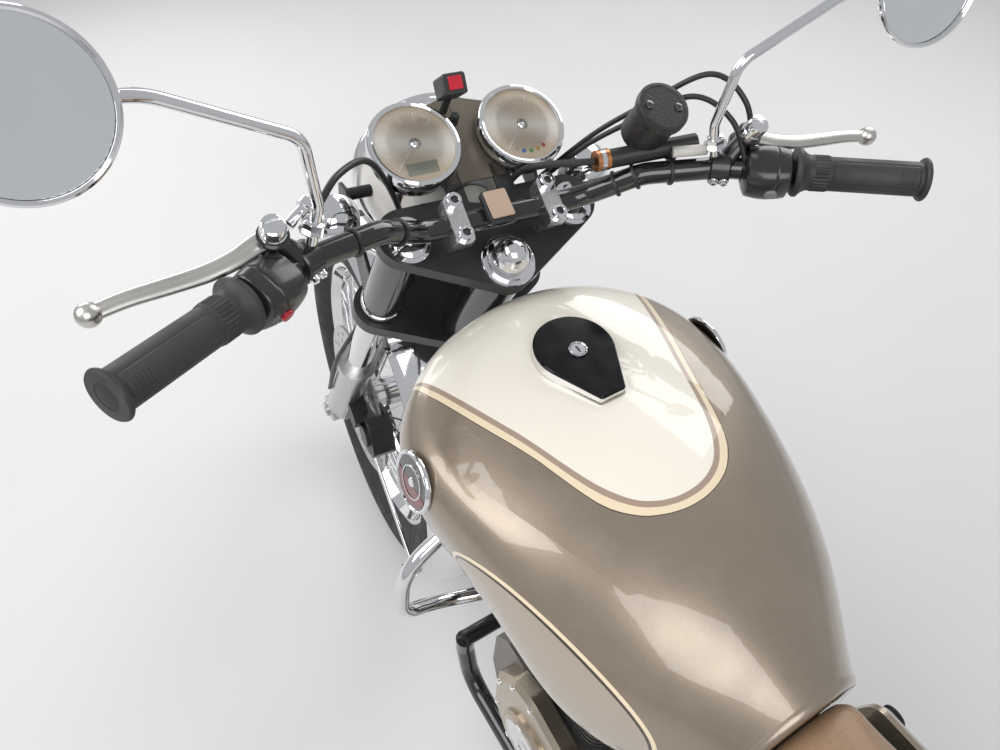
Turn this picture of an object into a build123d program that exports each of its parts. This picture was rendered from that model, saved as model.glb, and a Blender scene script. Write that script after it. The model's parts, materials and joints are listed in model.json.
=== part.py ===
"""Retro roadster motorcycle: a single-cylinder road machine on its centre stand.

Frame of reference while modelling: millimetres, X forward from the rear axle,
Y to the rider's left, Z up from the floor. Everything that steers is drawn in
the stem frame: Z along the steering axis, X forward across it, Y to the left.
"""

import os
from math import cos, pi, radians, sin, tan

from build123d import *

# Chassis layout
PIVOT_X = 492.0
SWINGARM_LENGTH = 492.0
REAR_AXLE_X = PIVOT_X - SWINGARM_LENGTH
DOWN_TUBE_X = 985.0
FRONT_WHEEL_REACH = 425.0
FRONT_AXLE_X = DOWN_TUBE_X + FRONT_WHEEL_REACH
FRONT_TYRE_RADIUS = 331.0
FRONT_TYRE_WIDTH = 100.0
FRONT_BEAD_RADIUS = 243.0
REAR_TYRE_RADIUS = 328.0
REAR_TYRE_WIDTH = 112.0
REAR_BEAD_RADIUS = 231.0
REAR_LIFT = 18.0
CASTER = 27.5
TRAIL = 115.0
BARS_AT_REST = -6.6
LENGTH_CENTRE = 700.0
RUNNING_GAP = 0.3

# Heights, each carried by the one below it
REAR_AXLE_HEIGHT = REAR_TYRE_RADIUS + REAR_LIFT
RAIL_ROOM = 32.0
RAIL_HEIGHT = REAR_AXLE_HEIGHT + REAR_TYRE_RADIUS + RAIL_ROOM
SPINE_OVER_RAILS = 46.0
SPINE_HEIGHT = RAIL_HEIGHT + SPINE_OVER_RAILS
HEAD_OVER_SPINE = 163.0
STEM_HEIGHT = SPINE_HEIGHT + HEAD_OVER_SPINE

# Steering head
HEAD_X = FRONT_AXLE_X + TRAIL - STEM_HEIGHT * tan(radians(CASTER))
FORK_SPREAD = 93.0
FORK_TUBE_RADIUS = 19.0
FORK_SLIDER_RADIUS = 26.0
SLIDER_TOP = -420.0
YOKE_THICKNESS = 18.0
LOWER_YOKE_Z = -190.0
HEAD_TUBE_RADIUS = 27.0
STEM_RADIUS = 14.0

# Handlebar, all in the stem frame
BAR_RADIUS = 11.1
BAR_POINTS = ((39, 0, 38), (39, 86, 38), (30, 140, 82), (9.5, 217, 102), (-78.5, 375, 172))
BAR_BENDS = (42, 42, 70)
GRIP_RADIUS = 16.5
GRIP_LENGTH = 124.0
RISER_SPREAD = 51.0
RISER_WIDTH = 19.0

# Instruments and headlight, in the stem frame
GAUGE_FORWARD = 133.0
GAUGE_SPREAD = 60.0
GAUGE_RADIUS = 48.0
GAUGE_TOP = 38.0
GAUGE_DEPTH = 44.0
LAMP_RADIUS = 90.0
LAMP_DEPTH = 112.0
LAMP_FORWARD = 181.4
LAMP_DROP = 113.5

# Frame tubes
SPINE_RADIUS = 21.0
DOWN_TUBE_RADIUS = 17.0
CRADLE_RADIUS = 14.0
CRADLE_SPREAD = 105.0
CRADLE_HEIGHT = 188.0
RAIL_RADIUS = 12.5
RAIL_SPREAD = 95.0
PIVOT = (PIVOT_X, 0.0, 388.0)
PIVOT_RADIUS = 10.0

# Engine
CRANK = (745.0, 0.0, 345.0)
CASE_HALF_WIDTH = 92.0
CASE_BOTTOM = 214.0
BORE_CENTRE = 775.0
FIN_PITCH = 11.5
FIN_THICKNESS = 4.0
BARREL_FINS = 9
HEAD_FINS = 6
FIN_HALF_LENGTH = 92.0
FIN_HALF_WIDTH = 86.0
BARREL_RADIUS = 60.0
ROCKER_HEIGHT = 44.0
ROCKER_CAP_HEIGHT = 8.0
ENGINE_GAP = 2.5

# Final drive
CHAIN_Y = 72.0
CHAIN_WIDTH = 14.0
CHAIN_HEIGHT = 13.0
REAR_SPROCKET_RADIUS = 92.0
FRONT_SPROCKET_RADIUS = 38.0
FRONT_SPROCKET = (572.0, 392.0)
SPROCKET_TEETH = 37

# Tank, seat and cap
TUNNEL_HALF_WIDTH = 54.0
TUNNEL_ROOM = 42.0
TUNNEL_TOP = SPINE_HEIGHT + SPINE_RADIUS + TUNNEL_ROOM
TUNNEL_STEP = 690.0
TUNNEL_DROP = 38.0
CROWN_ANGLE = 24.4
SEAT_CROWN_ANGLE = 13.0
TUCK_ANGLE = 38.0
TANK_CORNER = 23.7
CAP_FRONT = 965.0
CAP_REAR = 861.0
CAP_HALF_WIDTH = 40.0
CAP_LATCH_HALF = 15.0
CAP_TOP = SPINE_HEIGHT + 155
CAP_HEIGHT = 12.0
CAP_TILT = -2.0
FILLER_RADIUS = 21.0
FILLER_DEPTH = 32.0
FILLER_SHIFT = 6.0
CAP_LEDGE = 1.5

# x, half width, then top, widest height and bottom over the spine
TANK_SECTIONS = (
    (576, 90, 67, -40, -68),
    (640, 129, 98, -24, -73),
    (740, 165, 132, 13, -73),
    (850, 179, 144, 58, -68),
    (HEAD_X - 108.7, 180, 144, 64, -63),
    (HEAD_X - 48.7, 146, 142, 64, -60),
    (HEAD_X - 14, 97, 124, 59, -55),
)
# x, half width, then top, widest height and bottom over the rails
SEAT_SECTIONS = (
    (REAR_AXLE_X - 108, 98, 116, 86, 46),
    (REAR_AXLE_X - 60, 112, 124, 84, 32),
    (REAR_AXLE_X + 120, 122, 102, 72, 22),
    (330, 112, 84, 58, 18),
    (450, 80, 86, 60, 21),
    (520, 62, 92, 66, 26),
    (566, 52, 96, 70, 32),
)
TANK_UNDERSIDE = SPINE_HEIGHT + min(row[4] for row in TANK_SECTIONS)
HEAD_TOP = TANK_UNDERSIDE - ENGINE_GAP - ROCKER_HEIGHT - ROCKER_CAP_HEIGHT
DECK_HEIGHT = HEAD_TOP - FIN_PITCH * (BARREL_FINS + HEAD_FINS)

# Axles, hubs and brakes
AXLE_RADIUS = 8.5
HUB_BORE = AXLE_RADIUS + RUNNING_GAP
FRONT_HUB_HALF = 56.0
FRONT_HUB_RADIUS = 36.0
REAR_AXLE_RADIUS = 9.0
REAR_HUB_RADIUS = 74.0
REAR_HUB_HALF = 62.0
SPOKES = 36
DISC_RADIUS = 138.0
DISC_INNER = 96.0
DISC_SLOT = 5.0
CALIPER_ANGLE = 42.0

# Levers, mirrors and reservoir, in the stem frame
LEVER_PIVOT = (24.0, 236.0, 126.0)
LEVER_BALL = (-6.0, 376.0, 135.0)
LEVER_MIDDLE = (8.0, 290.0, 128.0)
LEVER_WIDTH = 15.0
LEVER_THICKNESS = 9.0
LEVER_SLOT = (39.5, 13.5)
MIRROR_STEM = ((16, 208, 106), (38, 196, 140), (66, 203, 196), (88, 300, 240), (82, 344, 258))
MIRROR_CENTRE = (72.0, 371.0, 267.0)
MIRROR_FACING = (-0.66, -0.12, 0.74)
MIRROR_RADIUS = 55.0
RESERVOIR = (66.0, -149.0, 94.0)

# Corners of the frame and the rear suspension
TANK_MOUNTS = ((HEAD_X - 90, SPINE_HEIGHT + 24), (592.0, SPINE_HEIGHT - 14))
SPINE_END = (470.0, 0.0, RAIL_HEIGHT - 66)
DOWN_TUBE_KNEE = (DOWN_TUBE_X, 0.0, 520.0)
DOWN_TUBE_FOOT = (DOWN_TUBE_X - 40, 0.0, 300.0)
SHOCK_TOP = (REAR_AXLE_X + 118, RAIL_HEIGHT - 16)
SHOCK_BOTTOM = (REAR_AXLE_X + 24, REAR_AXLE_HEIGHT + 54)
SHOCK_Y = 132.0
SHOCK_EYE = 14.0
ARM_Y = 104.0
ARM_END = PIVOT_X - 48

# Ports and rear mount of the engine
REAR_MOUNT = (505.0, 479.0)
INTAKE = (BORE_CENTRE - 112, 0, HEAD_TOP - 30)
EXHAUST = (BORE_CENTRE + 108, -26, HEAD_TOP - 46)

# Plug, guard, lamp and stands
CAP_PLUG_RADIUS = 13.0
GUARD_X = 998.0
GUARD_TOP = 568.0
GUARD_RADIUS = 10.5
LAMP_ANGLE = 44.8
LAMP_REACH = REAR_TYRE_RADIUS + 86.4
TAIL_LAMP = (
    REAR_AXLE_X - LAMP_REACH * sin(radians(LAMP_ANGLE)), 0.0,
    REAR_AXLE_HEIGHT + LAMP_REACH * cos(radians(LAMP_ANGLE)),
)
TAIL_LAMP_RADIUS = 44.0
STAND_PIVOT = (430.0, 236.0)
STAND_FOOT_X = 470.0
STAND_SPREAD = 128.0
STAND_FOLD = 82.0
SIDE_PIVOT = (540.0, 140.0, 214.0)
SIDE_STAND_SWING = 100.0

HEAD = Location(
    (HEAD_X, 0, STEM_HEIGHT),
    (0, -CASTER, 0),
)
STEERED = HEAD * Location((0, 0, 0), (0, 0, BARS_AT_REST))


def to_stem(x, y, z):
    """A point of the straight-ahead machine, given in the stem frame."""
    along = x - HEAD.position.X
    up = z - HEAD.position.Z
    c, s = cos(radians(CASTER)), sin(radians(CASTER))
    return (along * c + up * s, y, -along * s + up * c)


def from_stem(point, steer=0.0):
    """A stem-frame point in the machine's frame, with the bars turned."""
    x, y, z = point
    t = radians(steer)
    fore, side = x * cos(t) - y * sin(t), x * sin(t) + y * cos(t)
    c, s = cos(radians(CASTER)), sin(radians(CASTER))
    return (HEAD.position.X + fore * c - z * s, side, HEAD.position.Z + fore * s + z * c)


FORK_OFFSET, _, FRONT_AXLE_Z = to_stem(FRONT_AXLE_X, 0, FRONT_TYRE_RADIUS)
FORWARD = Vector(cos(radians(CASTER)), 0, -sin(radians(CASTER)))


def rod(start, end, radius):
    """A round bar between two points."""
    a, b = Vector(*start), Vector(*end)
    return extrude(Plane(origin=a, z_dir=b - a) * Circle(radius), (b - a).length)


def bent(points, bends, radius):
    """A round bar along straight runs joined by tangent arcs."""
    path = FilletPolyline(*points, radius=bends)
    return sweep(Plane(origin=path @ 0, z_dir=path % 0) * Circle(radius), path=path)


def both(shape):
    """A piece and its mirror image across the centre plane."""
    return [shape, mirror(shape, about=Plane.XZ)]


def block(x, y, z, edge=0.0):
    """A block between pairs of limits, with its upright edges rounded."""
    solid = Pos((x[0] + x[1]) / 2, (y[0] + y[1]) / 2, (z[0] + z[1]) / 2) * Box(
        x[1] - x[0], y[1] - y[0], z[1] - z[0]
    )
    return fillet(solid.edges().filter_by(Axis.Z), edge) if edge else solid


def slab(points, y, edge=0.0):
    """A side-view outline of (x, z) points, extruded between two y values."""
    face = make_face(Polyline(*[(px, y[0], pz) for px, pz in points], close=True))
    if edge:
        face = fillet(face.vertices(), edge)
    return extrude(face, y[1] - y[0], dir=(0, 1, 0))


def disc(centre, y, radius, bore=0.0):
    """A disc about a cross-wise axis through (x, z), between two y values."""
    plane = Plane(origin=(centre[0], y[0], centre[1]), z_dir=(0, 1, 0))
    ring = Circle(radius) - Circle(bore) if bore else Circle(radius)
    return extrude(plane * ring, y[1] - y[0])


def ring(points, arcs=()):
    """A wheel-like ring from (y, r) points; an arc maps an edge index to its middle point."""
    mids = dict(arcs)
    closed = list(points) + [points[0]]
    edges = []
    for i in range(len(points)):
        a, b = (0, *closed[i]), (0, *closed[i + 1])
        edges.append(ThreePointArc(a, (0, *mids[i]), b) if i in mids else Line(a, b))
    return revolve(make_face(edges), Axis.Y)


def arc_between(centre, radius, start, end):
    """An arc in a cross-section, by its outward angles from straight up."""
    def at(angle):
        return (centre[0] + radius * sin(radians(angle)), centre[1] + radius * cos(radians(angle)))
    return at(start), at((start + end) / 2), at(end)


def body_section(row, base, corner=24.0, crown_angle=CROWN_ANGLE):
    """A tank or seat section: crown, shoulder, flank and corner arcs that meet in tangents."""
    x, half_width = row[:2]
    top, belly, bottom = (base + rise for rise in row[2:])
    t1, t3 = radians(crown_angle), 90 + TUCK_ANGLE
    # half width = crown sin t1 + shoulder (1 - sin t1); drop = crown (1 - cos t1) + shoulder cos t1
    a, b, c, d = sin(t1), 1 - sin(t1), 1 - cos(t1), cos(t1)
    drop = top - belly
    crown = (half_width * d - b * drop) / (a * d - b * c)
    shoulder = (a * drop - c * half_width) / (a * d - b * c)
    fall = belly - bottom
    dip = -cos(radians(t3))
    flank = (fall - corner * (1 - dip)) / dip
    crown_mid = (0.0, top - crown)
    p0, m0, p1 = arc_between(crown_mid, crown, -crown_angle, crown_angle)
    shoulder_mid = (p1[0] - shoulder * sin(t1), p1[1] - shoulder * cos(t1))
    _, m1, p2 = arc_between(shoulder_mid, shoulder, crown_angle, 90)
    _, m2, p3 = arc_between((p2[0] - flank, p2[1]), flank, 90, t3)
    corner_mid = (p3[0] - corner * sin(radians(t3)), p3[1] - corner * cos(radians(t3)))
    _, m3, p4 = arc_between(corner_mid, corner, t3, 180)

    def at(p, side=1):
        return (x, side * p[0], p[1])
    edges = [ThreePointArc(at(p1, -1), at(m0), at(p1))]
    for start, mid, end in ((p1, m1, p2), (p2, m2, p3), (p3, m3, p4)):
        edges.append(ThreePointArc(at(start), at(mid), at(end)))
    edges.append(Line(at(p4), at(p4, -1)))
    for start, mid, end in ((p4, m3, p3), (p3, m2, p2), (p2, m1, p1)):
        edges.append(ThreePointArc(at(start, -1), at(mid, -1), at(end, -1)))
    return make_face(edges)


# Wheels, drawn about the origin with their axle along Y


def tyre(radius, width, bead):
    """A road tyre: bulged sidewalls and a round crown, on its bead seats."""
    half = width / 2
    shoulder = radius - 0.24 * width
    points = [(-28, bead), (-half + 4, shoulder), (half - 4, shoulder), (28, bead)]
    middle = (bead + shoulder) / 2
    arcs = {0: (-half, middle), 1: (0, radius), 2: (half, middle)}
    return ring(points, arcs)


def spoked_wheel(bead, hub_radius, hub_half, spokes, bore):
    """A chromed channel rim laced to its hub with crossed wire spokes."""
    rim = ring(
        [
            (-33, bead + 9), (-30, bead + 9), (-28, bead - 0.5), (28, bead - 0.5),
            (30, bead + 9), (33, bead + 9), (32, bead - 4), (14, bead - 12), (-14, bead - 12),
            (-32, bead - 4),
        ]
    )
    flange = hub_half - 6
    hub = ring(
        [
            (-hub_half, bore), (-hub_half, hub_radius * 0.75), (-flange - 5, hub_radius),
            (-flange, hub_radius), (-flange + 4, hub_radius * 0.72), (flange - 4, hub_radius * 0.72),
            (flange, hub_radius), (flange + 5, hub_radius), (hub_half, hub_radius * 0.75),
            (hub_half, bore),
        ]
    )
    wires = []
    for i in range(spokes):
        side = 1 if i % 2 else -1
        lean = 34 if (i // 2) % 2 else -34
        outer = 2 * pi * i / spokes
        inner = outer + radians(lean)
        start = (hub_radius - 4) * sin(inner), side * (flange + 1), (hub_radius - 4) * cos(inner)
        end = (bead - 10) * sin(outer), side * 9, (bead - 10) * cos(outer)
        wires.append(rod(start, end, 2.0))
    return Part() + [rim, hub] + wires


def brake_disc(radius, inner, y):
    """A drilled brake disc on a spider that bolts to the hub."""
    plate = disc((0, 0), (y, y + 5), radius, inner)
    holes = []
    for row in range(2):
        for i in range(18):
            angle = 20 * i + 10 * row
            reach = radius - 14 - 13 * row
            spot = (reach * sin(radians(angle)), reach * cos(radians(angle)))
            holes.append(disc(spot, (y - 1, y + 6), 3.5))
    carrier = disc((0, 0), (y, y + 5), 52, 17)
    arms = [
        Rot(0, 60 * i, 0) * Pos(0, y + 2.5, (inner + 50) / 2) * Box(16, 5, inner - 38)
        for i in range(6)
    ]
    return plate - holes + carrier + arms


# Steering group, drawn in the stem frame


def yokes():
    """The two triple clamps on their stem, with the stem nut."""
    def plate(z, thickness, stem_radius, clamp_radius):
        outline = make_hull(
            (
                Circle(stem_radius)
                + Pos(FORK_OFFSET, FORK_SPREAD) * Circle(clamp_radius)
                + Pos(FORK_OFFSET, -FORK_SPREAD) * Circle(clamp_radius)
            ).edges()
        )
        waist = Pos(FORK_OFFSET + 62, 0) * Circle(44) + Pos(-36, 82) * Circle(34)
        waist += Pos(-36, -82) * Circle(34)
        return Pos(0, 0, z - thickness / 2) * extrude(outline - waist, thickness)
    top = plate(0, YOKE_THICKNESS, 30, 30)
    low = plate(LOWER_YOKE_Z, YOKE_THICKNESS + 6, 30, 32)
    stem = Pos(0, 0, LOWER_YOKE_Z) * extrude(Circle(STEM_RADIUS), -LOWER_YOKE_Z)
    nut = Pos(0, 0, 9) * extrude(Circle(24), 5)
    nut += Pos(0, 0, 14) * extrude(RegularPolygon(15, 6), 11)
    dome = Pos(0, 0, 25) * (Sphere(12.5) & Pos(0, 0, 10) * Box(40, 40, 20))
    tubes = [Pos(FORK_OFFSET, s * FORK_SPREAD, -250) * Cylinder(FORK_TUBE_RADIUS, 600) for s in (1, -1)]
    return Part() + (top + low + stem + nut + dome - tubes) + lamp_ears()


def fork_tubes():
    """The chromed inner tubes with their top caps."""
    tube = extrude(Circle(FORK_TUBE_RADIUS), SLIDER_TOP - 5 - YOKE_THICKNESS / 2)
    cap = extrude(Circle(FORK_TUBE_RADIUS - 1), 6) + Pos(0, 0, 6) * extrude(RegularPolygon(12, 6), 6)
    leg = Pos(FORK_OFFSET, FORK_SPREAD, YOKE_THICKNESS / 2) * (tube + cap)
    return both(leg)


def fork_sliders():
    """The cast sliders with their axle lugs, and the front axle between them."""
    length = SLIDER_TOP - FRONT_AXLE_Z
    leg = Pos(0, 0, FRONT_AXLE_Z) * extrude(Circle(FORK_SLIDER_RADIUS), length)
    collar = Pos(0, 0, SLIDER_TOP - 14) * extrude(Circle(FORK_SLIDER_RADIUS + 3), 14)
    lug = disc((0, FRONT_AXLE_Z), (-22, 22), 24)
    rib = slab([(-30, FRONT_AXLE_Z + 6), (-30, FRONT_AXLE_Z + 90), (0, FRONT_AXLE_Z + 120),
                (0, FRONT_AXLE_Z)], (-6, 6))
    bore = Pos(0, 0, SLIDER_TOP - 5) * extrude(Circle(FORK_TUBE_RADIUS), 20)
    slider = leg + collar + lug + rib - bore
    legs = both(Pos(FORK_OFFSET, FORK_SPREAD, 0) * slider)
    axle = disc((FORK_OFFSET, FRONT_AXLE_Z), (-FORK_SPREAD - 30, FORK_SPREAD + 30), AXLE_RADIUS)
    nuts = [disc((FORK_OFFSET, FRONT_AXLE_Z), (s * (FORK_SPREAD + 22) - 5, s * (FORK_SPREAD + 22) + 7), 13)
            for s in (1, -1)]
    return Part() + legs + axle + nuts


def caliper(sliders):
    """A floating brake caliper behind the left slider, open over the disc."""
    y0 = FRONT_HUB_HALF
    inner, outer = DISC_INNER - 4, DISC_RADIUS + 12
    outline = [(-40, inner), (-40, outer - 14), (-26, outer), (26, outer), (40, outer - 14), (40, inner)]
    body = slab(outline, (y0 - DISC_SLOT - 6, y0 + 5 + DISC_SLOT + 18), 8)
    slot = disc((0, 0), (y0 - DISC_SLOT, y0 + 5 + DISC_SLOT), DISC_RADIUS + DISC_SLOT)
    pistons = disc((0, (inner + outer) / 2), (y0 + 26, y0 + 34), 20)
    turned_back = Rot(0, -CALIPER_ANGLE, 0) * (body - slot + pistons)
    tab = slab([(-62, 78), (-62, 112), (0, 112), (0, 78)], (y0 + 16, FORK_SPREAD + 6), 3)
    return Pos(FORK_OFFSET, 0, FRONT_AXLE_Z) * (turned_back + tab) - sliders


def mudguard(radius, width, start, sweep_angle, depth=26.0, sheet=2.5):
    """A rolled mudguard with turned-down sides, about an axle at the origin."""
    half = width / 2
    profile = make_face(
        [
            ThreePointArc((0, -half, radius - depth), (0, 0, radius), (0, half, radius - depth)),
            Line((0, half, radius - depth), (0, half - sheet, radius - depth)),
            ThreePointArc(
                (0, half - sheet, radius - depth), (0, 0, radius - sheet),
                (0, sheet - half, radius - depth),
            ),
            Line((0, sheet - half, radius - depth), (0, -half, radius - depth)),
        ]
    )
    return Rot(0, start, 0) * revolve(profile, Axis.Y, revolution_arc=sweep_angle)


def front_mudguard():
    """The front mudguard with the straps and stays that carry it on the sliders."""
    guard = mudguard(FRONT_TYRE_RADIUS + 26, FRONT_TYRE_WIDTH + 24, -112, 150, 30)
    edge = FRONT_TYRE_RADIUS + 26 - 30
    inner = FORK_SPREAD - FORK_SLIDER_RADIUS
    strap = slab([(-14, 240), (-14, edge + 8), (14, edge + 8), (14, 240)], (inner - 6, inner - 2), 5)
    foot = block((-10, 10), (inner - 4, inner + 6), (242, 262))
    a = radians(-96)
    stay = rod(((edge + 4) * sin(a), 59, (edge + 4) * cos(a)), (-22, inner + 2, 12), 3.5)
    return Pos(FORK_OFFSET, 0, FRONT_AXLE_Z) * (Part() + guard + both(strap + foot + stay))


def along_bar(distance):
    """A frame on the outer run of the bar: Z along it, X ahead of it."""
    a, b = Vector(*BAR_POINTS[3]), Vector(*BAR_POINTS[4])
    run = (b - a).normalized()
    return Plane(origin=b - run * distance, x_dir=(1, 0.55, 0), z_dir=run)


def bar_radii():
    """One bend radius for each inner corner of the mirrored bar."""
    one_side = list(BAR_BENDS)
    return list(reversed(one_side)) + one_side


def bar_solid():
    """The bar with a bend at each named point, left and right."""
    half = list(BAR_POINTS[1:])
    points = [(x, -y, z) for x, y, z in reversed(half)] + half
    return bent(points, bar_radii(), BAR_RADIUS)


def risers(bar):
    """Two slim bar clamps on the top bridge, each with its cap."""
    foot = YOKE_THICKNESS / 2
    outline = [(22, foot), (48, foot), (50, 26), (62, 32), (62, 50), (16, 50), (16, 32), (24, 26)]
    clamp = slab(outline, (RISER_SPREAD - RISER_WIDTH / 2, RISER_SPREAD + RISER_WIDTH / 2), 3)
    return [c - bar for c in both(clamp)]


def gauges():
    """Two round instruments: deep bezels on tapered cups."""
    bottom = GAUGE_TOP - GAUGE_DEPTH
    cup = [(0, bottom), (34, bottom), (42, bottom + 12), (44, GAUGE_TOP - 14)]
    rim = [(GAUGE_RADIUS, GAUGE_TOP - 14), (GAUGE_RADIUS, GAUGE_TOP - 2), (GAUGE_RADIUS - 2, GAUGE_TOP)]
    face = [(GAUGE_RADIUS - 6, GAUGE_TOP), (GAUGE_RADIUS - 8, GAUGE_TOP - 6), (0, GAUGE_TOP - 6)]
    profile = make_face(Polyline(*[(r, 0, z) for r, z in cup + rim + face], close=True))
    gauge = revolve(profile, Axis.Z)
    return [Pos(GAUGE_FORWARD, s * GAUGE_SPREAD, 0) * gauge for s in (1, -1)]


def gauge_plate(cups):
    """The bracket plate under the instruments, its arms, knob, gear display and sensor."""
    outline = make_hull(
        (
            Pos(GAUGE_FORWARD, GAUGE_SPREAD) * Circle(40)
            + Pos(GAUGE_FORWARD, -GAUGE_SPREAD) * Circle(40)
            + Pos(GAUGE_FORWARD + 42, 0) * Circle(18)
        ).edges()
    )
    seat = YOKE_THICKNESS / 2
    plate = Pos(0, 0, seat) * extrude(outline, 3)
    arms = both(block((40, 110), (18, 38), (seat, seat + 3)))
    knob = Pos(GAUGE_FORWARD + 14, 0, 8) * extrude(Circle(5.5), 16)
    stalk = rod((GAUGE_FORWARD + 44, 8, 6), (GAUGE_FORWARD + 40, 10, 52), 4)
    display = Pos(GAUGE_FORWARD + 40, 10, 62) * Box(20, 26, 24)
    return Part() + plate + arms + knob + stalk + display - cups


def turned(profile, place):
    """A turned piece from an (r, z) outline, about the place's own Z."""
    outline = make_face(Polyline(*[(r, 0, z) for r, z in profile], close=True))
    return place * revolve(outline, Axis.Z)


def headlight():
    """A bowl headlight: painted shell, chromed rim and domed glass."""
    place = Plane(origin=(LAMP_FORWARD, 0, -LAMP_DROP), z_dir=FORWARD, x_dir=(0, 1, 0)).location
    seat, lip = -6.0, LAMP_RADIUS - 10
    bowl = make_face(
        [
            Line((0, 0, seat), (LAMP_RADIUS - 3, 0, seat)),
            ThreePointArc(
                (LAMP_RADIUS - 3, 0, seat), (LAMP_RADIUS * 0.9, 0, -LAMP_DEPTH * 0.42),
                (LAMP_RADIUS * 0.66, 0, -LAMP_DEPTH * 0.76),
            ),
            ThreePointArc(
                (LAMP_RADIUS * 0.66, 0, -LAMP_DEPTH * 0.76), (LAMP_RADIUS * 0.38, 0, -LAMP_DEPTH * 0.94),
                (4, 0, -LAMP_DEPTH),
            ),
            Line((4, 0, -LAMP_DEPTH), (0, 0, -LAMP_DEPTH)),
            Line((0, 0, -LAMP_DEPTH), (0, 0, seat)),
        ]
    )
    rim = [(lip, seat), (LAMP_RADIUS, seat), (LAMP_RADIUS + 3, 0), (LAMP_RADIUS, 9), (lip, 12)]
    glass = [(0, seat), (lip, seat), (lip, 8), (lip * 0.85, 14), (lip * 0.6, 18), (lip * 0.3, 20), (0, 21)]
    shell = place * revolve(bowl, Axis.Z)
    return shell, turned(rim, place), turned(glass, place)


def lamp_ears():
    """The two ears that carry the headlight on the fork tubes, with their bolts."""
    outline = [(46, -150), (46, -96), (150, -68), (170, -84), (160, -106), (128, -104)]
    plate = slab(outline, (FORK_SPREAD + FORK_TUBE_RADIUS, FORK_SPREAD + FORK_TUBE_RADIUS + 4), 4)
    bolt = disc((154, -87), (76, FORK_SPREAD + FORK_TUBE_RADIUS), 7)
    return both(plate + bolt)


def signal(centre, axis):
    """A round turn signal, its lens towards the given direction."""
    profile = [(0, -24), (12, -23), (22, -16), (28, -4), (31, 8), (27, 16), (18, 21), (8, 23), (0, 23)]
    return turned(profile, Plane(origin=centre, z_dir=axis).location)


def perch_and_switches(bar):
    """Left and right switch housings and lever perches round the bar."""
    pieces = []
    frame = along_bar(GRIP_LENGTH + 28).location
    drum = extrude(Circle(21), 26, both=True)
    lobe = Pos(-6, 0, 0) * Box(40, 46, 44)
    lobe = fillet(lobe.edges().filter_by(Axis.Z), 9)
    clamp = Pos(0, 0, -45) * extrude(Circle(17), 10, both=True)
    shape = frame * (drum + lobe + clamp)
    arm = rod(tuple((frame * Pos(0, 0, -45)).position), LEVER_PIVOT, 9)
    yoke = Pos(*LEVER_PIVOT) * Pos(0, 0, -9) * extrude(Circle(12), 18)
    whole = shape + arm + yoke - lever_gap() - bar
    for part in both(whole):
        pieces.append(part)
    return pieces


def lever_gap():
    """The slot in the perch that the lever blade turns in."""
    return Pos(*LEVER_PIVOT) * Pos(4, 30 - LEVER_SLOT[0] / 2, 0) * Box(34, *LEVER_SLOT)


def lever():
    """A flat lever blade out to its ball end."""
    path = FilletPolyline(LEVER_PIVOT, LEVER_MIDDLE, LEVER_BALL, radius=[140])
    section = Plane(origin=path @ 0, z_dir=path % 0, x_dir=(path % 0).cross(Vector(0, 0, 1)))
    blade = sweep(section * Ellipse(LEVER_WIDTH / 2, LEVER_THICKNESS / 2), path=path)
    eye = Pos(*LEVER_PIVOT) * extrude(Circle(9), LEVER_SLOT[1] / 2 - RUNNING_GAP, both=True)
    return blade + eye + Pos(*LEVER_BALL) * Sphere(9.5)


def mirror_stem():
    """A bent mirror stem up from the lever perch to the bowl's back."""
    return bent(MIRROR_STEM, [14, 22, 60], 5.0)


def mirror_bowl():
    """The round mirror bowl, hollowed for its glass."""
    plane = Plane(origin=MIRROR_CENTRE, z_dir=MIRROR_FACING)
    face = make_face(
        [
            ThreePointArc((0, 0, -22), (40, 0, -15), (MIRROR_RADIUS, 0, 0)),
            Line((MIRROR_RADIUS, 0, 0), (MIRROR_RADIUS, 0, 5)),
            Line((MIRROR_RADIUS, 0, 5), (MIRROR_RADIUS - 3, 0, 5)),
            Line((MIRROR_RADIUS - 3, 0, 5), (MIRROR_RADIUS - 3, 0, 0)),
            Line((MIRROR_RADIUS - 3, 0, 0), (0, 0, 0)),
            Line((0, 0, 0), (0, 0, -22)),
        ]
    )
    glass = plane.location * extrude(Circle(MIRROR_RADIUS - 3), 2)
    return plane.location * revolve(face, Axis.Z), glass


def master_cylinder(bar):
    """The front brake's round reservoir on its cylinder, right of the instruments."""
    pot = Pos(*RESERVOIR) * extrude(Circle(23), 40)
    lid = Pos(*RESERVOIR) * Pos(0, 0, 40) * extrude(Circle(25), 8)
    neck = rod((RESERVOIR[0] - 4, RESERVOIR[1], RESERVOIR[2] + 4), (36, -176, 96), 9)
    barrel = rod((52, -110, 84), (40, -196, 106), 9.5)
    return pot + lid + neck + barrel - bar


# Chassis


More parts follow.
